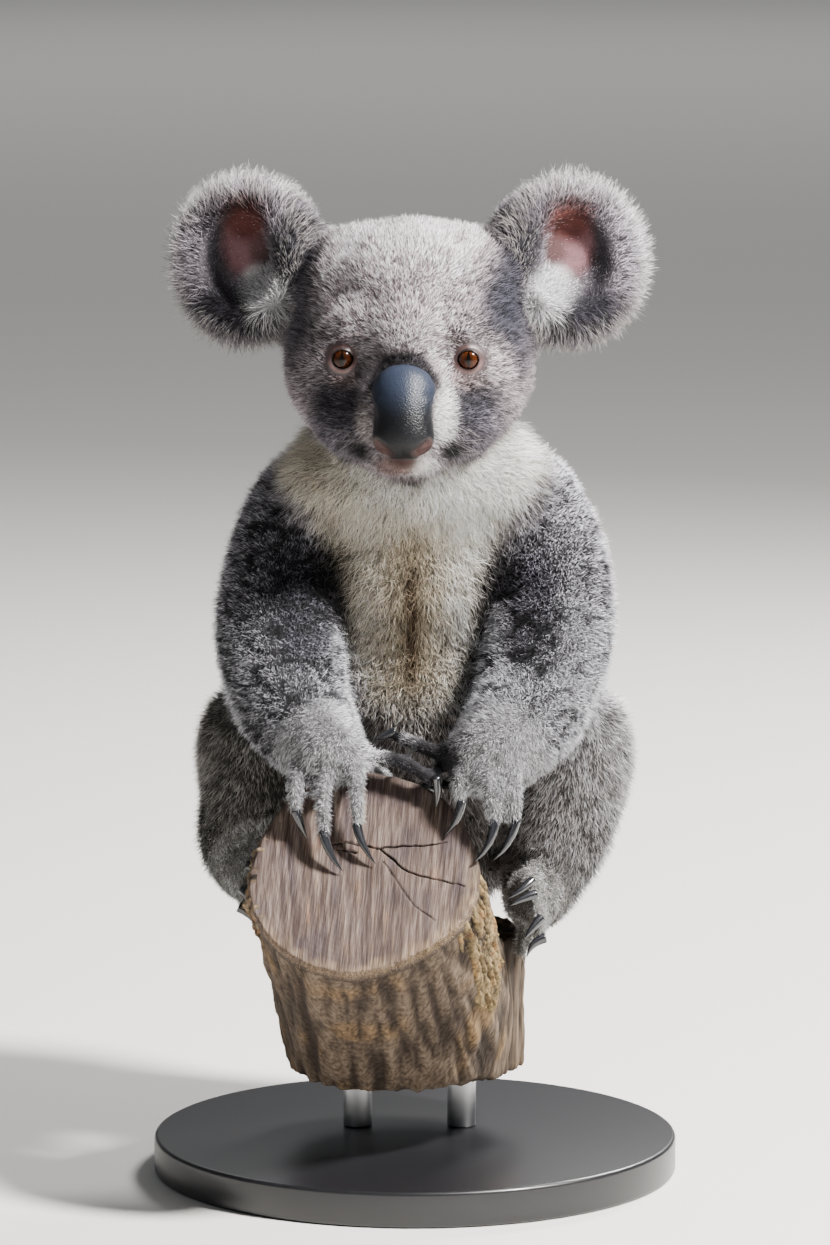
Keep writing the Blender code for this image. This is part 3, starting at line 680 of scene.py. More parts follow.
# %% Build tufts
def tuft_mesh(name, bowed, root, out, along, length, lift, width, base, tip, place):
    """Joins one tuft for each row: root point, outward and lengthwise directions, sizes and colours."""
    count = len(root)
    aside = np.cross(out, along)
    rise, run = length * np.sin(lift), length * np.cos(lift)
    start = root - out * (0.25 * width + 0.3 * MM)[:, None]
    end = root + along * run[:, None] + out * rise[:, None]
    levels = [(start, 0.5, base)]
    if bowed:
        middle = root + along * (0.42 * run)[:, None] + out * (0.66 * rise)[:, None]
        levels.append((middle, 0.42, 0.35 * base + 0.65 * tip))
    rings = []
    for centre, share, _ in levels:
        for k in range(3):
            turn = math.tau * k / 3 + math.pi / 2
            edge = aside * math.cos(turn) + out * (0.55 * math.sin(turn))
            rings.append(centre + edge * (share * width)[:, None])
    points = np.stack(rings + [end], axis=1).reshape(-1, 3)
    top, each = len(rings) - 3, len(rings) + 1
    one = [[0, 2, 1]] + [[top + k, top + (k + 1) % 3, each - 1] for k in range(3)]
    if bowed:
        one += [[k, (k + 1) % 3, 3 + (k + 1) % 3] for k in range(3)]
        one += [[k, 3 + (k + 1) % 3, 3 + k] for k in range(3)]
    faces = (np.array(one)[None] + each * np.arange(count)[:, None, None]).reshape(-1, 3)
    mesh = mesh_from(name, points, faces)
    shades = [shade for _, _, shade in levels for _ in range(3)] + [tip]
    paint(mesh, "coat", np.stack(shades, axis=1).reshape(-1, 3))
    heights = [-1, -1, -1, 0, 0, 0, 1] if bowed else [-1, -1, -1, 1]
    offset = np.array([[(i % 3 - 1) * (h < 1), h] for i, h in enumerate(heights)]) * 0.0015
    spots = (place[:, None] + offset[None]).reshape(-1, 2)[faces.ravel()]
    layer = mesh.uv_layers.new(name="OFBake")
    layer.uv.foreach_set("vector", spots.astype(np.float32).ravel())
    return mesh


# %% [markdown]
# ## Length and thickness of the wool
#
# The wool stands as deep as the skin was drawn in, so its tips reach the outer shape of the solids. It
# lies at a slant, so it is a third to a half longer than the coat is deep. It is finest and closest on
# the face, hands and feet, and the ears carry a long loose fringe.

# %% Coat fields over the skin
slant = np.radians(by_part("slant", 8))
thickness = by_part("thickness", 8) * MM
crowding = by_part("crowding", 4)
crowding = crowding * (0.70 + 0.55 * forwards)
hair = depth / np.sin(slant)
by_eye = smooth_step(11 * MM, 7 * MM, eye_ring) * is_head
thickness = thickness * (1 - 0.3 * muzzle * is_head) * (1 - 0.35 * bib) * (1 - 0.35 * chin)
crowding = crowding * (1 + 0.65 * bib)
crowding = crowding * (1 + 0.5 * muzzle * is_head) * (1 - 0.65 * shaven)
under_pad = is_head & (level < -0.35)
crowding = crowding * (1 + 0.6 * by_eye)
crowding = crowding * (eye_ring > 5.9 * MM) * np.where(under_pad, smooth_step(0.0, 0.1, nose_far), 1)
hair = hair * (1 - 0.45 * by_eye) * (1 - 0.5 * shaven)
hair = hair * (1 - 0.45 * thumb * part("hand")) * (1 - 0.65 * chin)
print("hair length mm:", (hair.min() / MM).round(1), "to", (hair.max() / MM).round(1))

# %% [markdown]
# ## Grow the coat
#
# Roots are spread over the skin in step with its area, so none of it is bare. Each tuft then leans
# towards the middle of its own small clump, which gives the coat its crumpled, woolly look instead of
# the even nap of a carpet.


# %% Scatter the roots
def scatter(crowd):
    """Faces and corner weights for roots spread at so many to the square millimetre."""
    corner = skin_points[skin_quads]
    area = np.linalg.norm(np.cross(corner[:, 2] - corner[:, 0], corner[:, 3] - corner[:, 1]), axis=1) / 2
    wanted = np.cumsum(area * 1e6 * crowd[skin_quads].mean(1) * (1.0))
    total = int(wanted[-1])
    face = np.searchsorted(wanted, np.arange(total) + chance.random(total))
    face = np.minimum(face, len(skin_quads) - 1)
    u, v = chance.random((2, total))
    return face, np.stack([(1 - u) * (1 - v), u * (1 - v), u * v, (1 - u) * v], axis=1)


WHITEST = (0.86, 0.88, 0.94)


def grow(crowd, longer, wider, clump_size, swing, frost_share, bleach):
    """Rows of tufts: root, out, along, length, lift, width, base and tip colours, place, and part."""
    face, weights = scatter(crowd)
    total = len(face)
    read = lambda v: (v.reshape(len(skin_points), -1)[skin_quads[face]] * weights[:, :, None]).sum(1)
    root, out = read(skin_points), read(skin_normals)
    out /= np.linalg.norm(out, axis=1, keepdims=True)
    along = flat_on(read(lie), out)
    clear = read(crisp)[:, 0]
    turned = chance.normal(0, swing, total) * (1 - 0.5 * clear)
    along = along * np.cos(turned)[:, None] + np.cross(out, along) * np.sin(turned)[:, None]
    length = read(hair * longer)[:, 0] * chance.uniform(0.6, 1.3, total)
    lift = read(slant)[:, 0] * chance.uniform(0.5, 1.4, total)
    width = read(thickness)[:, 0] * wider * chance.uniform(0.6, 1.4, total)
    heads = chance.choice(total, max(1, total // clump_size), replace=False)
    tree = KDTree(len(heads))
    for number, index in enumerate(heads):
        tree.insert(root[index], number)
    tree.balance()
    nearest = heads[[tree.find(Vector(p))[1] for p in root]]
    ends = root + along * (length * np.cos(lift))[:, None]
    pull = ends[nearest] - root
    along = flat_on(along * length[:, None] * 0.65 + pull * 0.35, out)
    under_tip = root + along * (length * np.cos(lift))[:, None]
    sunk = np.clip(read(furrowed)[:, 0] * creased(under_tip, read(fineness)[:, 0]), 0, 1)
    length = length * (1 - 0.35 * sunk)
    calm = 1 - 0.6 * read(bib)[:, 0]
    shade = 1 + calm * chance.normal(0, 0.27, total)[nearest] + calm * chance.normal(0, 0.24, total)
    # Wool that ends in a furrow is painted dark, as the shade in the furrow.
    shade = np.clip(shade, 0.30, 1.8) * (1 - 0.90 * sunk)
    colour = read(coat_colour)
    frost = chance.random(total)
    frosted = frost < read(frost_share)[:, 0] * calm
    sooty = frost > 1 - (0.22 + 0.06 * clear) * calm
    tip = colour * (1.16 + 0.25 * clear + 1.0 * frosted - 0.95 * sooty)[:, None] * shade[:, None]
    tip = mix(tip, "#f4eeea", read(bleach)[:, 0] * chance.uniform(0.2, 1.0, total))
    # Roots are darker than tips, as the wool's own dark base; on crisp wool they are darker still as painted
    # shade between the tufts.
    rooted = (0.20 + 0.30 * colour.mean(1) + 0.25 * (1 - calm)) * (1 - 0.35 * clear)
    base = colour * (rooted * shade)[:, None]
    spots = (skin_uv[face] * weights[:, :, None]).sum(1)
    owner = skin_owner[skin_quads[face, 0]]
    return (root, out, along, length, lift, width, base, np.clip(tip, 0, WHITEST), spots), owner


frosting = by_part("frosting")
short_bleach = 0.05 * fringe + 0.05 * lump
shorter = 1 - 0.40 * fringe + 0.10 * lump
short_wool, short_owner = grow(crowding, shorter, 1.0, 6, 0.65, frosting, short_bleach)
print("short tufts:", len(short_owner))

# %% Long hair
long_crowd = by_part("loose") + 0.42 * fringe + 0.4 * lump + 0.4 * tassel
long_crowd = long_crowd * (1 - 0.75 * shaven)
longer = 1.15 - 0.22 * fringe + 0.20 * lump + 0.6 * tassel + 0.9 * hollow
long_bleach = 0.62 * fringe + 0.45 * lump + 0.3 * tassel + 0.5 * hollow
long_hair, long_owner = grow(long_crowd, longer, 0.60, 6, 0.45, frosting, long_bleach)
print("long locks:", len(long_owner))

# %% Build the coat, part by part
wool = material("woolly coat", 0.85, Specular_IOR_Level=0.25)[0]

REGIONS = {
    "coat_head": ["head"],
    "coat_ears": ["ear_left", "ear_right"],
    "coat_body": ["neck", "trunk"],
    "coat_arms": ["upper_arm_left", "forearm_left", "upper_arm_right", "forearm_right"],
    "coat_hands": ["hand_left", "hand_right"],
    "coat_legs": ["thigh_left", "shin_left", "thigh_right", "shin_right"],
    "coat_feet": ["foot_left", "foot_right"],
}
coat = []
LENGTHS = (("short", short_wool, short_owner, 49000), ("long", long_hair, long_owner, 19500))
for kind, rows, owner, most in LENGTHS:
    for name, parts in REGIONS.items():
        chosen = np.flatnonzero(np.isin(owner, [FLESH.index(p) for p in parts]))
        if not len(chosen):
            continue
        shares = np.array_split(chosen, math.ceil(len(chosen) / most))
        for number, some in enumerate(shares, 1):
            label = f"{name}_{kind}" + (f"_{number}" if len(shares) > 1 else "")
            mesh = tuft_mesh(label, kind == "long", *(values[some] for values in rows))
            coat.append((piece(label, mesh, wool), parts))
            print(label, len(some), "tufts,", len(mesh.polygons), "triangles")

# %% [markdown]
# ## The nose
#
# A koala's nose is one long pad of bare leather, blue-black, finely pebbled and a little shiny. The
# nostrils are brownish-pink commas at its lower corners. The pad is the solid's own shape made smooth,
# with the nostrils and the groove between them pressed in by formulas.

# %% Sculpt the nose
leather, tree, shader = material("nose leather", 0.42, Specular_IOR_Level=0.28)
cells = {"feature": "SMOOTH_F1"}
pebbles = add(tree, "ShaderNodeTexVoronoi", cells, {"Vector": own_space(tree)}, Scale=1500.0)
bump(tree, shader, pebbles.outputs["Distance"], 0.8, 0.0003)

nose = remeshed("nose", ["nose_pad"], 1.9 * MM, 0.8 * MM, 180, leather)
nose.data.shade_smooth()
nose_points = points_of(nose.data)
left, back, up = on_head(nose_points).T
up = up - 0.42 * smooth_step(-3.0, 0.3, up)

# The pad's half width at heights from its top to its lip, in centimetres: an egg with a slight waist.
OUTLINE = [(-5.22, 0.35), (-4.97, 0.98), (-4.72, 1.40), (-4.45, 1.60), (-4.1, 1.67), (-3.75, 1.66),
           (-3.3, 1.60), (-2.8, 1.55), (-2.4, 1.58), (-1.95, 1.67), (-1.55, 1.73), (-1.25, 1.68), (-0.9, 1.54), (-0.6, 1.35),
           (-0.3, 1.02), (-0.1, 0.66)]
heights = np.array([h for h, _ in OUTLINE])
now = np.array([np.abs(left[np.abs(up - h) < 0.10]).max() for h in heights])
left = left * np.interp(up, heights, np.array([w for _, w in OUTLINE]) / now)

# Its front is eased to one simple curved surface.
facing = smooth_step(0.45, 0.85, normals_of(nose.data) @ FORWARD)
l, u = left, up + 2.6
terms = np.stack([l * 0 + 1, u, u**2, u**3, u**4, l**2, l**2 * u, l**2 * u**2, l**4], axis=1)
kept = facing > 0.5
fitted = terms @ np.linalg.lstsq(terms[kept], back[kept], rcond=None)[0]
back = back + (fitted - back) * 0.9 * facing
nose_points = MIDDLE + np.stack([left, back, up], axis=1) @ HEAD_TURN * CM
shift_points(nose, nose_points)

# The nostrils are hollows in the lower corners, under a slanting upper edge.
facing = smooth_step(-0.1, 0.4, normals_of(nose.data) @ FORWARD)
side_of_middle = np.abs(left)
upper_edge = -3.60 - 0.78 * (1.66 - side_of_middle)
below_edge = smooth_step(-0.06, 0.16, upper_edge - up)
in_corner = np.hypot((side_of_middle - 1.02) / 0.72, (up + 4.42) / 0.80)
comma = (1 - smooth_step(0.72, 1.05, in_corner)) * below_edge * facing
bowl = (1 - smooth_step(0.35, 1.05, in_corner)) * smooth_step(-0.15, 0.35, upper_edge - up) * facing
groove = np.exp(-((left / 0.08) ** 2)) * (1 - smooth_step(-4.7, -4.2, up)) * facing
nose_points = nose_points - FORWARD * (3.4 * bowl + 1.2 * groove)[:, None] * MM
shift_points(nose, nose_points)
# The pad is painted near-black low down and lighter slate towards its top, as painted shade below and painted
# sheen above; the nostrils are brownish-pink.
nose_colour = mix(mix("#07080d", "#262d3c", smooth_step(-3.0, -0.7, up)), "#3d2523", comma)
# Painted shade: each nostril's opening and the shadow under its upper edge are painted near-black.
nostril_shadow = comma * np.maximum(smooth_step(0.26, 0.06, upper_edge - up), smooth_step(0.80, 0.50, side_of_middle))
nose_colour = mix(nose_colour, "#0b0809", 0.92 * nostril_shadow)
# The groove between the nostrils is painted darker, as the shade in it.
paint(nose.data, "coat", np.clip(nose_colour * (1 - 0.5 * groove[:, None]), 0, 1))
print("nose:", len(nose_points), "points,", round(2 * left.max(), 1), "cm wide")

# %% [markdown]
# ## Whiskers
#
# A few stiff pale whiskers stand out from the dark corners of the mouth.

# %% Whiskers
count = 26
whisker_side = np.where(np.arange(count) % 2, 1, -1)
near_mouth = np.stack([whisker_side * chance.uniform(2.0, 3.2, count), np.full(count, -9.0),
                       chance.uniform(-5.4, -3.6, count)], axis=1)
skin_tree = tree_of(skin_points, skin_quads)
rows = [skin_tree.ray_cast(Vector(MIDDLE + p @ HEAD_TURN * CM), Vector(-FORWARD)) for p in near_mouth]
whisker_root = np.array([found[0] for found in rows])
whisker_out = np.array([found[1] for found in rows])
heading = whisker_side[:, None] * ACROSS + 0.25 * FORWARD + chance.normal(-0.45, 0.3, count)[:, None] * SKY
heading = flat_on(heading, whisker_out)
grey = linear("#b9b4b2") * chance.uniform(0.5, 1.2, count)[:, None]
lengths, lifts = chance.uniform(11, 24, count) * MM, chance.uniform(0.25, 0.75, count)
widths, nowhere = chance.uniform(0.16, 0.24, count) * MM, np.zeros((count, 2))
whisker_mesh = tuft_mesh("whiskers", True, whisker_root, whisker_out, heading, lengths, lifts, widths,
                         0.4 * grey, grey, nowhere)
whiskers = piece("whiskers", whisker_mesh, wool)
print("whiskers:", count)

# %% [markdown]
# ## The eyes
#
# Each eye is a full ball with an amber iris, a dark rim and an upright slit of a pupil, which is how a
# koala's pupil looks in daylight. Its front is meshed in fine rings, so that the colours can be painted
# straight onto the points, and a clear wet coat over it gives the sparkle.

# %% Eyeballs
wet = material("wet eye", 0.2, Specular_IOR_Level=0.1, Coat_Weight=0.3, Coat_Roughness=0.02)[0]


def ring_mesh(rows):
    """Joins rows of points, each a closed ring of the same count, into triangles."""
    count = rows.shape[1]
    faces = []
    here = np.arange(count)
    for i in range(len(rows) - 1):
        a, b = i * count + here, i * count + (here + 1) % count
        faces.append(np.stack([a, b, b + count], axis=1))
        faces.append(np.stack([a, b + count, a + count], axis=1))
    return rows.reshape(-1, 3), np.concatenate(faces)


def closed_tube(rows):
    """The same, with its first and last ring closed."""
    points, faces = ring_mesh(rows)
    count = rows.shape[1]
    fan = np.array([[0, k, k + 1] for k in range(1, count - 1)])
    return points, np.concatenate([faces, fan + len(points) - count, fan[:, ::-1]])


def eyeball(side):
    angles = np.concatenate([np.linspace(0.002, 1.0, 60), np.linspace(1.05, math.pi - 0.01, 24)])
    turn = np.linspace(0, math.tau, 96, endpoint=False)
    a, t = np.meshgrid(angles, turn, indexing="ij")
    sideways, upwards = np.sin(a) * np.cos(t), np.sin(a) * np.sin(t)
    way = np.cos(a)[..., None] * FORWARD + sideways[..., None] * ACROSS + upwards[..., None] * SKY
    bulge = 1 + 0.035 * (1 - smooth_step(0.45, 0.85, a))
    rows = EYE[side] + way * (EYE_RADIUS * bulge)[..., None]
    points, faces = ring_mesh(rows)
    mesh = mesh_from(f"eyeball_{side}", points, faces)
    x, y = sideways.ravel() * EYE_RADIUS / MM, upwards.ravel() * EYE_RADIUS / MM
    r = np.hypot(x, y)
    fibres = 0.5 + 0.5 * np.sin(37 * t.ravel() + 2.5 * np.sin(9 * t.ravel()) + 1.3 * r)
    iris = mix("#1c0c04", "#4c250e", fibres * smooth_step(1.0, 3.4, r))
    # The iris darkens to its rim; the eye on the animal's right is painted darker and the other a little
    # brighter, as shade and light from the key light's side.
    iris = iris * ((1 - 0.75 * smooth_step(3.9, 5.3, r)) * (1.1 if side == "left" else 0.6))[:, None]
    slit = 1 - smooth_step(0.70, 1.05, np.abs(x) / np.sqrt(np.clip(1 - (y / 4.3) ** 2, 1e-4, 1)))
    slit = slit * (np.abs(y) < 4.2)
    outside = np.maximum(smooth_step(5.2, 5.8, r), a.ravel() > 1.5)
    paint(mesh, "coat", mix(mix(iris, "#060505", slit), "#140d0b", outside))
    return piece(f"eyeball_{side}", mesh, wet)


eyeballs = [eyeball(side) for side in SIDES]
print("eyeballs:", len(eyeballs), "of", round(2 * EYE_RADIUS / MM, 1), "mm")

# %% [markdown]
# ## The eyelids
#
# Around each eye is a rim of bare pinkish skin. It is swept as a ring: its inner edge rests on the ball,
# it rolls over a lip, and its outer edge dives under the fur. How far the skin lies from the eye in each
# direction is measured by rays, so the ring always meets it.

# %% Eyelids
bare, tree, shader = material("bare skin", 0.42, Specular_IOR_Level=0.5)
bump(tree, shader, noise_in(tree, own_space(tree), 1500.0, 4.0), 0.35, 0.0003)


def skin_ahead(place):
    """How far ahead of a place the skin lies, in millimetres, seen from 8 cm in front of it."""
    found = skin_tree.ray_cast(Vector(place + FORWARD * 8 * CM), Vector(-FORWARD), 16 * CM)[0]
    return float((np.array(found) - place) @ FORWARD) / MM


def eyelid(side):
    inward = -1 if side == "left" else 1
    rows = []
    for turn in np.linspace(0, math.tau, 72, endpoint=False):
        c, s = math.cos(turn), math.sin(turn)
        toward_nose = max(0.0, c * inward)
        open_to = 5.3 + 0.9 * toward_nose ** 6 - 0.5 * max(0.0, s) ** 2
        way = ACROSS * c + SKY * s
        outer = [skin_ahead(EYE[side] + way * r * MM) for r in (9.5, 11.0, 12.5)]
        ball = lambda r: math.sqrt(max(0.0, (EYE_RADIUS / MM * 1.03) ** 2 - r ** 2))
        path = [(open_to + 1.2, ball(open_to + 1.2) - 1.2), (open_to, ball(open_to) + 0.1)]
        path += [(open_to + 0.1, ball(open_to) + 0.75), (open_to + 0.7, ball(open_to + 0.7) + 1.3)]
        path += [(open_to + 1.5, 0.5 * (ball(open_to + 0.7) + 1.3) + 0.5 * max(outer[0], 1.5))]
        path += [(8.4, 0.15 * ball(5.6) + 0.85 * max(outer[0], 0.0) + 0.5), (9.8, outer[0] + 0.35)]
        path += [(11.2, outer[1] - 0.1), (12.4, outer[2] - 1.0)]
        path = np.array(path)
        t = np.linspace(0, len(path) - 1, 33)
        smooth = np.stack([np.interp(t, np.arange(len(path)), path[:, i]) for i in (0, 1)], axis=1)
        for _ in range(5):
            smooth[1:-1] = 0.25 * smooth[:-2] + 0.5 * smooth[1:-1] + 0.25 * smooth[2:]
        rows.append([EYE[side] + way * r * MM + FORWARD * d * MM for r, d in smooth])
    rows = np.array(rows).transpose(1, 0, 2)[::-1]
    points, faces = ring_mesh(rows)
    mesh = mesh_from(f"eyelid_{side}", points, faces[:, ::-1])
    across_eye = (points - EYE[side]) @ ACROSS / MM
    over_eye = (points - EYE[side]) @ SKY / MM
    r = np.hypot(across_eye, over_eye)
    below = smooth_step(1.0, -4.0, over_eye)
    lid = mix("#150e0e", "#6d5251", smooth_step(5.5, 6.5, r) * (0.35 + 0.65 * below))
    paint(mesh, "coat", mix(lid, "#3f3537", smooth_step(7.2, 8.6, r)))
    return piece(f"eyelid_{side}", mesh, bare)


eyelids = [eyelid(side) for side in SIDES]
print("eyelids:", [len(o.data.vertices) for o in eyelids])

# %% [markdown]
# ## Claws
#
# The claws are long hooks of dark horn, worn glossy. Each one follows the middle line of its solid, which
# is a curve fitted to the solid's points along its chord, and starts inside the finger so that no join
# shows. Fine streaks run along the horn, and it darkens to its tip.

# %% Claws
horn = material("claw horn", 0.20, Specular_IOR_Level=0.6, Coat_Weight=0.4)[0]
CLAWS = [name for name in nodes if name.startswith("claw_")]


def claw(node):
    """A tapering hook along the solid's middle line: round on its back and drawn to an edge inside."""
    points, _, faces = merged_copy(node)
    middle = points.mean(0)
    chord = np.linalg.svd(points - middle)[2][0]
    t = (points - middle) @ chord
    spread_at = lambda low, high: points[(t >= low) & (t <= high)].std(0).sum()
    if spread_at(t.max() - 3 * MM, t.max()) > spread_at(t.min(), t.min() + 3 * MM):
        chord, t = -chord, -t
    fit = np.polyfit(t, points, 2)
    along = np.linspace(t.min() - 2.5 * MM, t.max(), 22)
    line = fit[0] * along[:, None] ** 2 + fit[1] * along[:, None] + fit[2]
    share = np.linspace(0, 1, len(line))
    heading = np.gradient(line, axis=0)
    heading /= np.linalg.norm(heading, axis=1, keepdims=True)
    bend = fit[0] / max(np.linalg.norm(fit[0]), 1e-9)
    aside = np.cross(heading, bend)
    aside /= np.linalg.norm(aside, axis=1, keepdims=True)
    inside = np.cross(aside, heading)
    turns = np.linspace(0, math.tau, 16, endpoint=False)
    girth = 2.7 * MM * (1 - 0.95 * share ** 1.7)
    rows = []
    for c, a, n, g in zip(line, aside, inside, girth):
        edge = np.cos(turns)
        shape = np.where(edge > 0, 1.10 - 0.10 * np.abs(np.sin(turns)), 1.0)
        narrow = 0.90 * np.sin(turns) * (1 - 0.15 * np.clip(edge, 0, 1))
        rows.append(c + g * (a * narrow[:, None] + n * (edge * shape)[:, None]))
    mesh = mesh_from(node.replace("claw", "horn"), *closed_tube(np.array(rows)))
    along_claw = np.repeat(share, 16)
    streak = 0.5 + 0.5 * np.sin(5 * np.tile(turns, len(line)) + 3 * along_claw + len(node))
    darker = 1.2 - 0.8 * smooth_step(0.35, 1.0, along_claw)
    paint(mesh, "coat", mix("#0e0f12", "#3c3d43", 0.35 * streak) * darker[:, None])
    return piece(mesh.name, mesh, horn)


horns = {node: claw(node) for node in CLAWS}
print("claws:", len(horns))

# %% [markdown]
# ## The log
#
# The perch is the stub of a sawn eucalypt branch on a short piece of its tree. Its rough bark is a voxel
# mesh of the solid, pushed in and out by ridges that run along the wood.

# %% Bark


def mixed(tree, factor, first, second, kind="MIX"):
    """A colour mix of two colours or sockets; gives its result socket."""
    node = tree.nodes.new("ShaderNodeMix")
    node.data_type = "RGBA"
    node.blend_type = kind
    for index, value in ((0, factor), (6, first), (7, second)):
        if isinstance(value, bpy.types.NodeSocket):
            tree.links.new(value, node.inputs[index])
        else:
            node.inputs[index].default_value = value
    return node.outputs[2]


def wood_finish(name, roughness, stretch, strength):
    """Painted wood with fine noise over it; stretch draws the noise out along Z."""
    made, tree, shader = material(name, roughness, Specular_IOR_Level=0.25)
    painted = shader.inputs["Base Color"].links[0].from_node
    at = add(tree, "ShaderNodeTexCoord")
    mapped = add(tree, "ShaderNodeMapping", {}, {"Vector": at.outputs["Object"]}, Scale=(1, 1, stretch))
    grain = add(tree, "ShaderNodeTexNoise", {}, {"Vector": mapped.outputs["Vector"]}, Scale=450.0, Detail=8.0)
    value = {"Value": grain.outputs["Fac"]}
    ramp = add(tree, "ShaderNodeMapRange", {}, value, From_Min=0.35, From_Max=0.65)
    dark = mixed(tree, 1.0, painted.outputs["Color"], (0.38, 0.35, 0.32, 1), "MULTIPLY")
    colour = mixed(tree, ramp.outputs["Result"], dark, painted.outputs["Color"])
    tree.links.new(colour, shader.inputs["Base Color"])
    bump(tree, shader, grain.outputs["Fac"], strength, 0.0008)
    return made


bark = wood_finish("weathered bark", 0.9, 0.12, 1.0)
torn = wood_finish("torn wood fibre", 0.8, 0.3, 0.3)


def cut_frame():
    """The sawn face's centre, its outward normal, and its directions across and up."""
    points, _, faces = merged_copy("perch_log")
    corners = points[faces]
    normal = np.cross(corners[:, 1] - corners[:, 0], corners[:, 2] - corners[:, 0])
    area = np.linalg.norm(normal, axis=1)
    normal = normal / area[:, None]
    front = np.flatnonzero((normal[:, 1] < -0.4) & (normal[:, 2] > 0.3))
    facing = max(front, key=lambda i: area[front][(normal[front] @ normal[i]) > 0.9999].sum())
    out = normal[facing]
    level = points @ out
    rim = points[level > level.max() - 0.1 * MM]
    across = np.cross([0, 0, 1.0], out)
    across /= np.linalg.norm(across)
    return (rim.max(0) + rim.min(0)) / 2, out, across, np.cross(out, across), rim


CUT_AT, CUT_OUT, CUT_ACROSS, CUT_UP, rim = cut_frame()


def sawn_finish():
    """Painted grey wood with fine saw streaks that run up the cut, sharp enough to see close by."""
    made, tree, shader = material("sawn grey wood", 0.72, Specular_IOR_Level=0.25)
    painted = shader.inputs["Base Color"].links[0].from_node
    at = add(tree, "ShaderNodeTexCoord")
    level = Matrix((CUT_ACROSS, CUT_UP, CUT_OUT)).to_euler()
    laid = {"vector_type": "POINT"}
    flat = add(tree, "ShaderNodeMapping", laid, {"Vector": at.outputs["Object"]}, Rotation=level)
    colour = painted.outputs["Color"]
    streak = None
    for scale, stretch, shade in ((1700.0, 0.05, "#bab1ae"), (620.0, 0.07, "#c2bab6")):
        drawn = add(tree, "ShaderNodeMapping", laid, {"Vector": flat.outputs["Vector"]}, Scale=(1, stretch, 1))
        fine = add(tree, "ShaderNodeTexNoise", {}, {"Vector": drawn.outputs["Vector"]}, Scale=scale, Detail=3.0)
        value = {"Value": fine.outputs["Fac"]}
        ramp = add(tree, "ShaderNodeMapRange", {}, value, From_Min=0.38, From_Max=0.62)
        dark = mixed(tree, 1.0, colour, (*linear(shade), 1), "MULTIPLY")
        colour = mixed(tree, ramp.outputs["Result"], dark, colour)
        streak = streak or ramp.outputs["Result"]
    tree.links.new(colour, shader.inputs["Base Color"])
    bump(tree, shader, streak, 0.45, 0.0003)
    return made


sawn = sawn_finish()
rim_angle = np.arctan2((rim - CUT_AT) @ CUT_UP, (rim - CUT_AT) @ CUT_ACROSS)
order = np.argsort(rim_angle)
rim_angle, rim_reach = rim_angle[order], np.linalg.norm(rim - CUT_AT, axis=1)[order]


def rim_radius(angle):
    return np.interp(angle, rim_angle, rim_reach, period=math.tau)


def streaks(points, axis, wide, long, seed):
    """Noise drawn out along an axis: a wavelength across the grain and one along it."""
    along = points @ axis
    flat = points - np.outer(along, axis)
    moved = flat / wide + np.outer(along / long, axis) + seed
    return np.array([noise.fractal(Vector(p), 1.0, 2.0, 4) for p in moved])


log = remeshed("log_bark", ["perch_log"], 0.0, 2.2 * MM, 5, bark)
log.data.shade_smooth()
log_points, log_normals = points_of(log.data), normals_of(log.data)
level = (log_points - CUT_AT) @ CUT_OUT
ridged = streaks(log_points, CUT_OUT, 7 * MM, 45 * MM, 3.0)
upright = streaks(log_points, SKY, 7 * MM, 45 * MM, 9.0)
stub = smooth_step(0.0, 0.03, -0.02 - log_points[:, 1])
furrow = ridged * stub + upright * (1 - stub)
at_end = smooth_step(-3.0 * MM, -1.0 * MM, level)
log_points = log_points + log_normals * ((2.1 * furrow - 0.8) * (1 - at_end))[:, None] * MM
log_points -= CUT_OUT * np.maximum(0, level + 2.5 * MM)[:, None]
inwards = log_points - CUT_AT - np.outer((log_points - CUT_AT) @ CUT_OUT, CUT_OUT)
log_points -= inwards * (0.05 * smooth_step(-7.0 * MM, -4.0 * MM, level))[:, None]
shift_points(log, log_points)
tone = smooth_step(-0.5, 0.5, furrow)
ochre = smooth_step(0.15, 0.5, noise_at(log_points, 28 * MM, 4))
paint(log.data, "coat", mix(mix("#352c25", "#6e6052", tone), "#9a7a4e", 0.5 * ochre * tone))
print("log:", len(log_points), "points; sawn face about", round(2 * rim_reach.mean() / CM, 1), "cm across")

# %% [markdown]
# ## The sawn face
#
# The saw left fine upright streaks in the grey wood, and drying opened long cracks that run out from the
# pith. The face is a fine grid, squeezed from a square into the log's own round outline. The cracks are
# pressed into it as the distance to a few wandering lines.

# %% Sawn face
CRACKS = [
    [(0.7, 1.4), (-0.15, 1.55), (-1.0, 1.7), (-1.9, 1.6)],
    [(-0.5, 1.15), (-1.5, 1.26)],
    [(0.6, 1.4), (1.86, 1.61), (2.8, 1.62), (3.7, 1.74), (4.3, 1.9)],
    [(0.75, 1.4), (1.25, 1.0), (1.75, 0.5), (2.4, 0.0), (3.6, -0.3), (4.5, -0.5), (5.5, -0.72)],
]
HAIRLINE = [(1.0, 0.65), (2.0, -0.76), (2.9, -2.0), (4.1, -2.9)]
PITH = np.array([0.7, 1.4])


def near_line(spots, line):
    """Distance in cm from each spot to a line of points, and how far along the line that is, 0 to 1."""
    best = np.full(len(spots), 99.0)
    share = np.zeros(len(spots))
    for number, (a, b) in enumerate(zip(line, line[1:])):
        a, step = np.array(a), np.array(b) - np.array(a)
        t = np.clip((spots - a) @ step / (step @ step), 0, 1)
        far = np.linalg.norm(spots - a - t[:, None] * step, axis=1)
        share = np.where(far < best, (number + t) / (len(line) - 1), share)
        best = np.minimum(best, far)
    return best, share


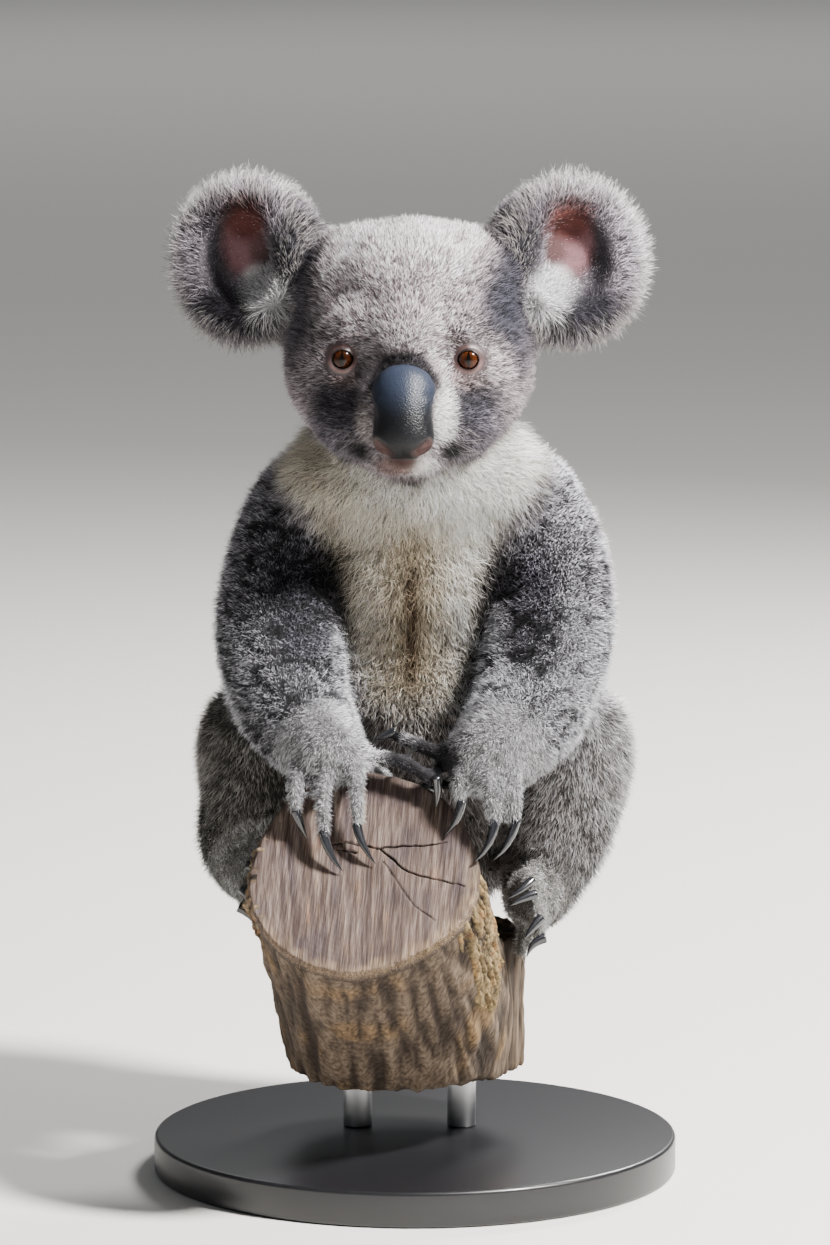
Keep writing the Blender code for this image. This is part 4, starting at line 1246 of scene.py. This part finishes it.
GRID = 220
side_of_square = np.linspace(-1, 1, GRID)
a, b = (g.ravel() for g in np.meshgrid(side_of_square, side_of_square))
reach = np.maximum(np.abs(a), np.abs(b))
steep = np.abs(b) > np.abs(a)
ratio = np.where(steep, a / np.where(b == 0, 1, b), b / np.where(a == 0, 1, a))
turn = np.where(steep, math.pi / 2 - ratio * math.pi / 4, ratio * math.pi / 4)
flip = np.where(steep, b < 0, a < 0)
turn = turn + flip * math.pi
ragged = noise_at(np.stack([np.cos(turn), np.sin(turn), turn * 0], axis=1), 0.12, 6)
far = reach * (rim_radius(turn) + 0.4 * MM + 0.7 * MM * ragged * smooth_step(0.8, 1.0, reach))
spots = np.stack([far * np.cos(turn), far * np.sin(turn)], axis=1) / CM
wander = np.stack([noise_at(np.c_[spots, spots[:, :1] * 0], 0.5, k) for k in (7, 8)], axis=1) * 0.07
crack = np.zeros(len(spots))
for line in CRACKS:
    gap, share = near_line(spots + wander, line)
    crack = np.maximum(crack, np.exp(-((gap / (0.045 - 0.02 * share)) ** 2)) * (1 - 0.35 * share))
crack = np.maximum(crack, 0.35 * np.exp(-((near_line(spots + wander, HAIRLINE)[0] / 0.035) ** 2)))
flat = np.c_[spots, np.zeros(len(spots))] * CM
fanned = flat + np.outer(0.10 * flat[:, 1] - 1.5 * flat[:, 0] * flat[:, 1], (1, 0, 0))
marks = streaks(fanned, np.array([0, 1.0, 0]), 1.1 * MM, 60 * MM, 2.0)
broad = streaks(fanned, np.array([0, 1.0, 0]), 4.5 * MM, 90 * MM, 5.0)
blotch = noise_at(flat, 17 * MM, 9)
pith_far = np.linalg.norm((spots + 0.6 * wander - PITH) / (1.0, 1.15), axis=1)
rings = 0.5 + 0.5 * np.sin(pith_far * 2 * math.pi / 0.27 + 2 * blotch)
height = 0.10 * marks + 0.15 * broad - 2.4 * crack - 1.6 * smooth_step(0.965, 1.0, reach) ** 2
face_points = CUT_AT + flat[:, :1] * CUT_ACROSS + flat[:, 1:2] * CUT_UP + (height * MM)[:, None] * CUT_OUT
border = np.concatenate([np.arange(GRID), GRID * np.arange(1, GRID) + GRID - 1,
                         GRID * GRID - 2 - np.arange(GRID - 1), GRID * np.arange(GRID - 2, 0, -1)])
skirt = face_points[border] - CUT_OUT * (7 + 3 * noise_at(face_points[border], 6 * MM, 3))[:, None] * MM
index = np.arange(GRID * GRID).reshape(GRID, GRID)
quads = np.stack([index[:-1, :-1], index[:-1, 1:], index[1:, 1:], index[1:, :-1]], axis=-1).reshape(-1, 4)
follow = np.arange(len(border))
after = (follow + 1) % len(border)
wall = np.stack([border[follow], GRID * GRID + follow, GRID * GRID + after, border[after]], axis=1)
low, high = linear("#5e514d"), linear("#8f8076")
tone = low + (high - low) * smooth_step(-0.5, 0.8, 0.45 * marks + 0.8 * broad)[:, None]
tone += (linear("#574d51") - tone) * (0.60 * smooth_step(0.05, 0.55, -blotch - 0.4 * broad))[:, None]
tone = mix(tone, "#a87a55", 0.45 * smooth_step(0.15, 0.6, blotch) * smooth_step(-0.2, 0.4, broad))
hatched = smooth_step(1.0, -3.5, spots[:, 0]) * smooth_step(0.2, 1.0, pith_far)
tone *= (0.95 + 0.09 * rings * (0.35 + hatched))[:, None]
rim_noise = noise_at(flat, 6 * MM, 31)
low_side = spots[:, 1] - 0.4 * spots[:, 0]
frayed = smooth_step(0.86, 0.99, reach + 0.05 * rim_noise) * smooth_step(0.0, -2.5, low_side)
tone = mix(tone, "#b29c7c", 0.50 * frayed * (0.7 + 0.6 * rim_noise))
tone = mix(tone, "#4a403a", 0.6 * smooth_step(0.93, 1.0, reach) * (spots[:, 1] > -1))
# The cracks are painted near-black, as the shade inside them.
tone *= (1 - 0.96 * smooth_step(0.08, 0.45, crack))[:, None]
tone = np.concatenate([np.clip(tone, 0, 1), np.tile(linear("#3a3029"), (len(border), 1))])
sawn_mesh = mesh_from("sawn_face", np.concatenate([face_points, skirt]), np.concatenate([quads, wall]))
paint(sawn_mesh, "coat", tone)
sawn_face = piece("sawn_face", sawn_mesh, sawn)
print("sawn face:", len(quads), "squares of about", round(2 * rim_reach.mean() / GRID / MM, 2), "mm")

# %% [markdown]
# ## Loose bark and frayed fibres
#
# A slab of bark still clings to each side of the stub behind its rim, thick and crumbling. Pale slivers of
# wood stand out where the saw tore the last of the rim.


# %% Bark slabs
def bark_slab(name, turns, lengths, thick, seed, low, high):
    """A crumbling plate round part of the stub, between two turns and two distances behind the face."""
    rows, columns = 112, 44
    s, t = (g.ravel() for g in np.meshgrid(np.linspace(0, 1, rows), np.linspace(0, 1, columns), indexing="ij"))
    waver = 0.12 * np.array([noise.noise(Vector((v * 6, seed, 0))) for v in s])
    turn = turns[0] + (turns[1] - turns[0]) * (t + waver)
    ragged = np.array([noise.fractal(Vector((v * 14, seed, 3)), 1.0, 2.0, 3) for v in t])
    back = lengths[0] + (lengths[1] - lengths[0]) * s + 4 * MM * ragged * (2 * s - 1) ** 4
    flat = np.cos(turn)[:, None] * CUT_ACROSS + np.sin(turn)[:, None] * CUT_UP
    under = CUT_AT + flat * (rim_radius(turn) - 4 * MM)[:, None] - CUT_OUT * back[:, None]
    grain = streaks(under, CUT_OUT, 2.6 * MM, 30 * MM, seed)
    crumbs = streaks(under, CUT_OUT, 1.1 * MM, 6.0 * MM, seed + 5)
    fade = np.minimum(1, 6 * np.minimum(t, 1 - t)) * np.minimum(1, 9 * np.minimum(s, 1 - s))
    proud = 2.5 * MM + thick * fade**0.5 * (0.55 + 0.6 * grain) + 1.0 * MM * crumbs * fade
    index = np.arange(rows * columns).reshape(rows, columns)
    quads = np.stack([index[:-1, :-1], index[:-1, 1:], index[1:, 1:], index[1:, :-1]], axis=-1).reshape(-1, 4)
    edge = np.concatenate([index[0, :-1], index[:-1, -1], index[-1, :0:-1], index[:0:-1, 0]])
    after = np.roll(edge, -1)
    wall = np.stack([edge, edge + index.size, after + index.size, after], axis=1)
    points = np.concatenate([under + flat * proud[:, None], under])
    mesh = mesh_from(name, points, np.concatenate([quads, quads[:, ::-1] + index.size, wall]))
    shade = smooth_step(-0.45, 0.45, grain + 0.5 * crumbs)[:, None]
    colour = linear(low) + (linear(high) - linear(low)) * shade
    rusty = smooth_step(0.0, 0.5, noise_at(under, 9 * MM, seed))[:, None]
    colour += (linear("#a56f38") - colour) * 0.45 * rusty * shade
    # The underside of each slab is painted at half brightness, as the shade beneath it.
    paint(mesh, "coat", np.concatenate([colour, colour * 0.5]))
    return piece(name, mesh, bark)


# Each slab: the turns it spans, how far behind the face it runs, its thickness, a seed and two colours.
RIGHT_SLAB = ((152, 206), (1, 46), 6, 1.3, "#2b231d", "#8f7d66")
LEFT_SLAB = ((-30, 9), (4, 118), 6, 6.1, "#241c16", "#97835f")
slabs = []
for side, (turns, lengths, thick, seed, low, high) in (("right", RIGHT_SLAB), ("left", LEFT_SLAB)):
    turns, lengths = [math.radians(v) for v in turns], [v * MM for v in lengths]
    slabs.append(bark_slab(f"bark_slab_{side}", turns, lengths, thick * MM, seed, low, high))
print("bark slabs:", len(slabs))

# %% Frayed fibres round the rim
count = 800
turn = np.where(chance.random(count) < 0.5, chance.normal(-0.85, 0.22, count), chance.normal(-1.6, 0.5, count))
reach = rim_radius(turn) - chance.uniform(0, 1.5, count) * MM
flat = np.cos(turn)[:, None] * CUT_ACROSS + np.sin(turn)[:, None] * CUT_UP
fibre_root = CUT_AT + flat * reach[:, None] - CUT_OUT * (chance.uniform(0.2, 3.0, count) * MM)[:, None]
lean = flat + CUT_OUT * chance.normal(-0.2, 0.5, count)[:, None]
lean += np.cross(CUT_OUT, flat) * chance.normal(0, 0.6, count)[:, None]
lean /= np.linalg.norm(lean, axis=1, keepdims=True)
fibre_out = flat_on(np.tile(CUT_OUT, (count, 1)), lean)
fibre_base = linear("#6b5b49") * chance.uniform(0.6, 1.2, count)[:, None]
fibre_tip = linear("#b7a17d") * chance.uniform(0.5, 1.1, count)[:, None]
fibre_length = chance.uniform(0.8, 4.5, count) * MM
fibre_mesh = tuft_mesh("rim_fibres", True, fibre_root, fibre_out, lean, fibre_length,
                       chance.uniform(0, 0.3, count),
                       chance.uniform(0.12, 0.4, count) * MM, fibre_base, fibre_tip, np.zeros((count, 2)))
fibres = piece("rim_fibres", fibre_mesh, torn)
print("rim fibres:", count)

# %% [markdown]
# ## The display stand
#
# The tree below the log is left out. A round board, lacquered black, and two short brushed steel rods
# hold the log up instead. The board is turned on a lathe, so its outline is a profile spun round its axis.


# %% Board and rods
def spun(name, profile, centre, sides, finish):
    """A profile of radius and height pairs spun round an upright axis, closed at both ends."""
    turns = np.linspace(0, math.tau, sides, endpoint=False)
    rows = [[(centre[0] + r * math.cos(t), centre[1] + r * math.sin(t), h) for t in turns] for r, h in profile]
    points, faces = ring_mesh(np.array(rows))
    last = sides * (len(profile) - 1)
    lid = np.array([[last, last + k, last + k + 1] for k in range(1, sides - 1)])
    floor_cap = np.array([[0, k + 1, k] for k in range(1, sides - 1)])
    mesh = mesh_from(name, points, np.concatenate([faces, lid, floor_cap]))
    mesh.set_sharp_from_angle(angle=math.radians(35))
    return piece(name, mesh, finish)


def rounded(radius, low, high, ease):
    """A profile for a round plate with eased edges."""
    corner = [(math.sin(a), 1 - math.cos(a)) for a in np.linspace(0, math.pi / 2, 6)]
    bottom = [(radius - ease + ease * x, low + ease * y) for x, y in corner]
    return bottom + [(radius - ease + ease * x, high - ease * y) for x, y in reversed(corner)]


lacquer = material("black lacquered board", 0.34, "#17171a", Coat_Weight=0.15)[0]
steel = material("brushed steel rod", 0.32, "#b9babd", Metallic=1.0)[0]
low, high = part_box("stand_base")
board_radius = (high.x - low.x) / 2
board_middle = ((low.x + high.x) / 2, (low.y + high.y) / 2)
board = spun("board", rounded(board_radius, low.z, high.z, 2.2 * MM), board_middle, 128, lacquer)
rods = []
for side in SIDES:
    low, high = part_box(f"stand_rod_{side}")
    middle = ((low.x + high.x) / 2, (low.y + high.y) / 2)
    rods.append(spun(f"rod_{side}", rounded((high.x - low.x) / 2, low.z, high.z, 0.5 * MM), middle, 48, steel))
print("board:", round(2 * board_radius / CM, 1), "cm across")

# %% [markdown]
# ## Hang everything on the frame
#
# The figure has no moving parts, so every piece rides the one body. Each piece names the solids that it
# stands for, and the slot that its finish belongs to.

# %% Attach the pieces
PARTS = [(skin, FLESH, "grey_coat"), (nose, ["nose_pad"], "nose_leather"), (log, ["perch_log"], "log_wood")]
PARTS += [(o, ["perch_log"], "log_wood") for o in (sawn_face, fibres, *slabs)]
PARTS += [(o, stands_for, "grey_coat") for o, stands_for in [*coat, (whiskers, ["head"])]]
PARTS += [(board, ["stand_base"], "stand_lacquer")]
for side, ball, lid, rod in zip(SIDES, eyeballs, eyelids, rods):
    PARTS += [(ball, [f"eye_{side}"], "eye_amber"), (lid, ["head"], "nose_leather")]
    PARTS += [(rod, [f"stand_rod_{side}"], "stand_steel")]
PARTS += [(horn_piece, [node], "claw_horn") for node, horn_piece in horns.items()]
for obj, stands_for, slot in PARTS:
    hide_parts(*stands_for)
    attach(obj, "root")
print("pieces:", len(PARTS))

# %% [markdown]
# ## The studio
#
# A pale floor and sky, and one warm key light from high on the right and a little in front, as the sun
# falls in a clearing. A faint fill softens the shadows, a light behind draws a bright rim on the wool,
# and a wide lamp far behind keeps the floor there pale.

# %% Floor, lights and camera
pale = material("pale floor", 0.9, "#dddbd7")[0]
corners = 40.0 * np.array([[-1, -1, 0], [1, -1, 0], [1, 1, 0], [-1, 1, 0]])
floor = piece("floor", mesh_from("floor", corners, np.array([[0, 1, 2, 3]])), pale)


def lamp(name, at, size, power, colour, towards=(0, 0, 0.3)):
    light = bpy.data.lights.new(name, "AREA")
    light.shape = "DISK"
    light.size = size
    light.energy = power
    light.color = colour
    obj = bpy.data.objects.new(name, light)
    obj.location = at
    obj.rotation_euler = (Vector(towards) - Vector(at)).to_track_quat("-Z", "Y").to_euler()
    bpy.context.scene.collection.objects.link(obj)


lamp("key", (1.45, -0.86, 2.1), 0.4, 330, (1.0, 0.97, 0.93))
lamp("fill", (-1.8, -2.4, 1.2), 1.8, 2, (0.93, 0.96, 1.0))
lamp("rim", (0.9, 1.8, 1.7), 0.6, 80, (1.0, 0.98, 0.95))
lamp("backdrop", (0, 14, 9), 10, 450, (1.0, 1.0, 1.0), (0, 14, 0))
sky = bpy.data.worlds.new("studio")
sky.use_nodes = True
sky.node_tree.nodes["Background"].inputs["Color"].default_value = (0.86, 0.89, 0.93, 1)
sky.node_tree.nodes["Background"].inputs["Strength"].default_value = 0.15
bpy.context.scene.world = sky

# The camera stands well back, and its view is VIEW_TALL metres tall where the animal sits.
TARGET, DISTANCE, RAISED, VIEW_TALL = Vector((0, 0, 0.306)), 3.2, math.radians(8), 0.68475
lens = bpy.data.cameras.new("camera")
lens.sensor_width = 36
lens.lens = 36 * DISTANCE / VIEW_TALL
camera = bpy.data.objects.new("camera", lens)
camera.location = TARGET + Vector((0, -math.cos(RAISED), math.sin(RAISED))) * DISTANCE
camera.rotation_euler = (math.pi / 2 - RAISED, 0, 0)
bpy.context.scene.collection.objects.link(camera)
bpy.context.scene.camera = camera
print("camera lens:", round(lens.lens, 1), "mm")
